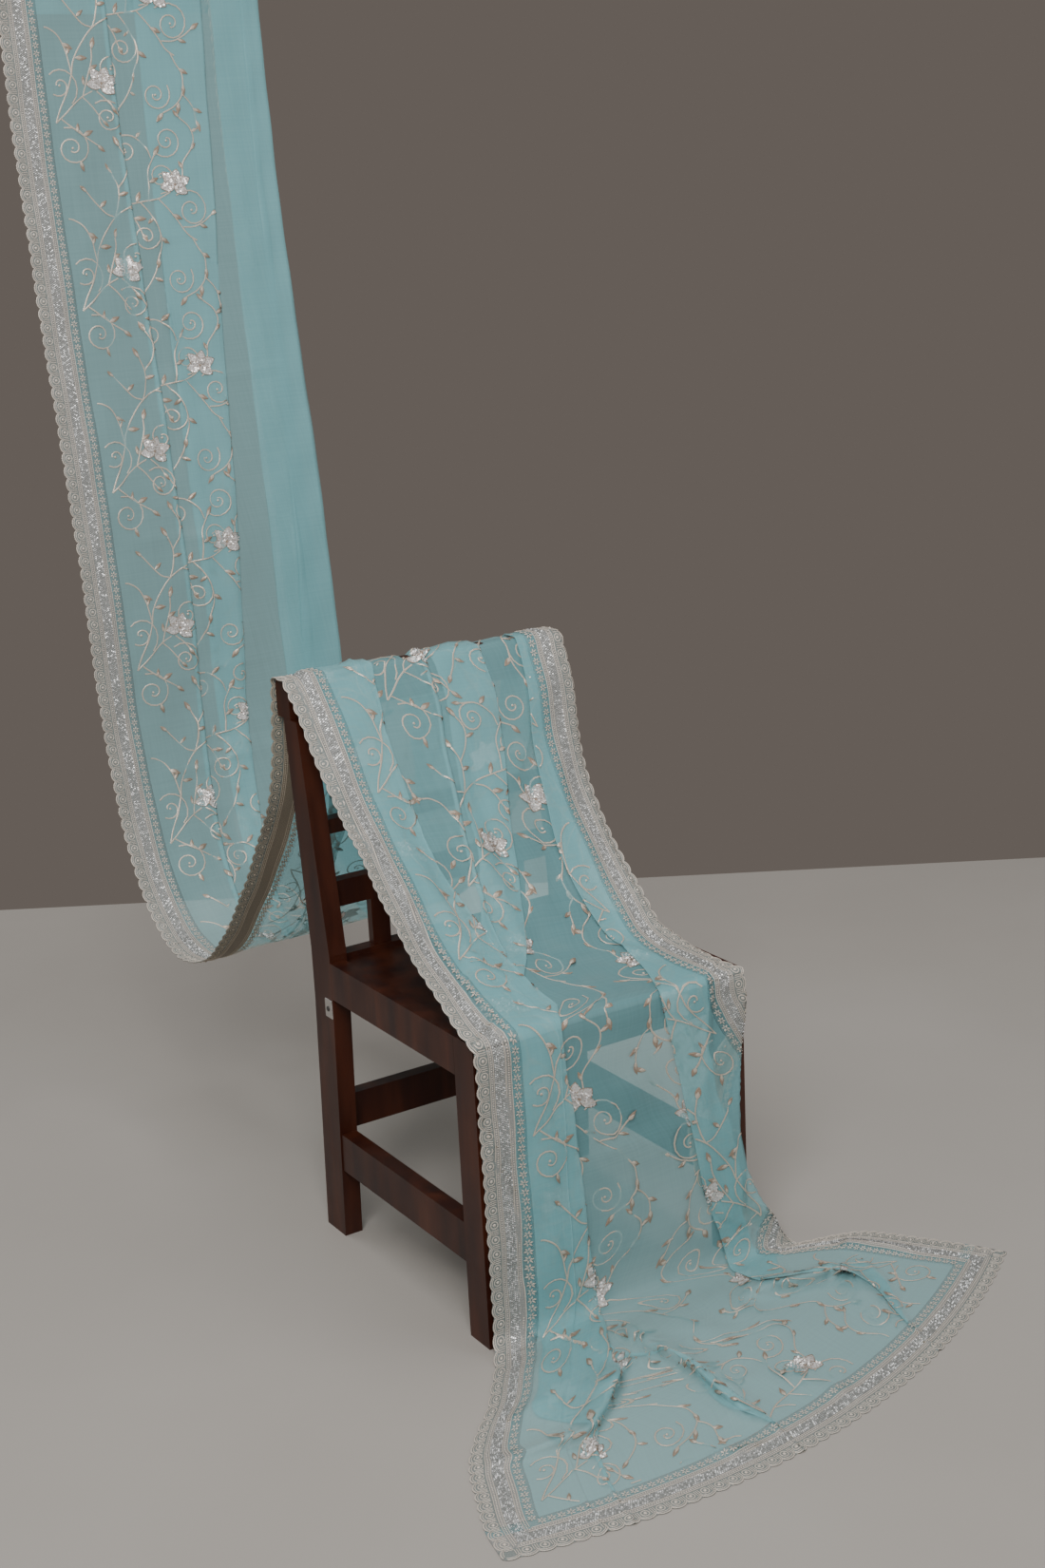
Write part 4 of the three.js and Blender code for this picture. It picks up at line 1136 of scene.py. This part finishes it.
def build_stage():
    floor_mat, nodes, links = new_material("floor_paint")
    shader = shader_of(nodes)
    coords = nodes.new("ShaderNodeTexCoord")
    mottle = noise(nodes, links, coords.outputs["Object"], 1.4, (1.0, 1.0, 1.0), 4.0)
    tint = ramp(nodes, links, mottle.outputs["Fac"], [(0.3, (0.34, 0.32, 0.295)), (0.7, (0.37, 0.35, 0.325))])
    links.new(tint.outputs["Color"], shader.inputs["Base Color"])
    shader.inputs["Roughness"].default_value = 0.8
    mesh = bpy.data.meshes.new("floor")
    corners = [(-FLOOR_HALF, -FLOOR_FRONT, 0), (FLOOR_HALF, -FLOOR_FRONT, 0),
               (FLOOR_HALF, FLOOR_BACK, 0), (-FLOOR_HALF, FLOOR_BACK, 0)]
    mesh.from_pydata(corners, [], [(0, 1, 2, 3)])
    mesh.materials.append(floor_mat)
    floor = bpy.data.objects.new("floor", mesh)
    floor.rotation_euler = (0, 0, -math.radians(CAMERA_AZIMUTH))
    bpy.context.scene.collection.objects.link(floor)
    world = bpy.data.worlds.new("studio")
    world.use_nodes = True
    background = next(n for n in world.node_tree.nodes if n.type == "BACKGROUND")
    background.inputs["Color"].default_value = (0.150, 0.128, 0.112, 1)
    background.inputs["Strength"].default_value = 0.9
    bpy.context.scene.world = world


def area_light(name, place, aim, size, power, colour=(1, 1, 1)):
    data = bpy.data.lights.new(name, "AREA")
    data.shape = "SQUARE"
    data.size = size
    data.energy = power
    data.color = colour
    light = bpy.data.objects.new(name, data)
    bpy.context.scene.collection.objects.link(light)
    aim_at(light, place, aim)


def aim_at(obj, place, aim):
    way = Vector(aim) - Vector(place)
    obj.location = place
    obj.rotation_euler = way.to_track_quat("-Z", "Y").to_euler()


def build_lights():
    area_light("key", (-2.4, -3.2, 3.7), (0, 0.0, 0.8), 2.4, 215, (1.0, 0.98, 0.96))
    area_light("fill", (2.6, -3.4, 2.0), (0, 0.1, 0.8), 2.8, 42, (0.95, 0.98, 1.0))
    area_light("top", (0.0, 0.3, 4.4), (0, 0.1, 0.2), 2.6, 75)
    area_light("back", (-1.6, 3.8, 2.4), (0, 0.5, 0.9), 2.4, 30)


def build_camera():
    azimuth, pitch, roll = (math.radians(v) for v in (CAMERA_AZIMUTH, CAMERA_PITCH, CAMERA_ROLL))
    level_way = math.cos(pitch)
    look = Vector((math.sin(azimuth) * level_way, math.cos(azimuth) * level_way, -math.sin(pitch)))
    right = Vector((math.cos(azimuth), -math.sin(azimuth), 0))
    up = right.cross(look)
    right_2 = right * math.cos(roll) - up * math.sin(roll)
    up_2 = right * math.sin(roll) + up * math.cos(roll)
    data = bpy.data.cameras.new("photo_camera")
    data.sensor_fit = "VERTICAL"
    data.sensor_height = 36.0
    data.lens = 50.0
    camera = bpy.data.objects.new("photo_camera", data)
    place = Vector(CAMERA_PLACE) + Vector(SHIFT)
    columns = Matrix((right_2, up_2, -look)).transposed()
    camera.matrix_world = Matrix.Translation(place) @ columns.to_4x4()
    bpy.context.scene.collection.objects.link(camera)
    bpy.context.scene.camera = camera


build_cloth()
build_lace()
build_embroidery()
dress_chair()
build_bracket()
build_stage()
build_lights()
build_camera()
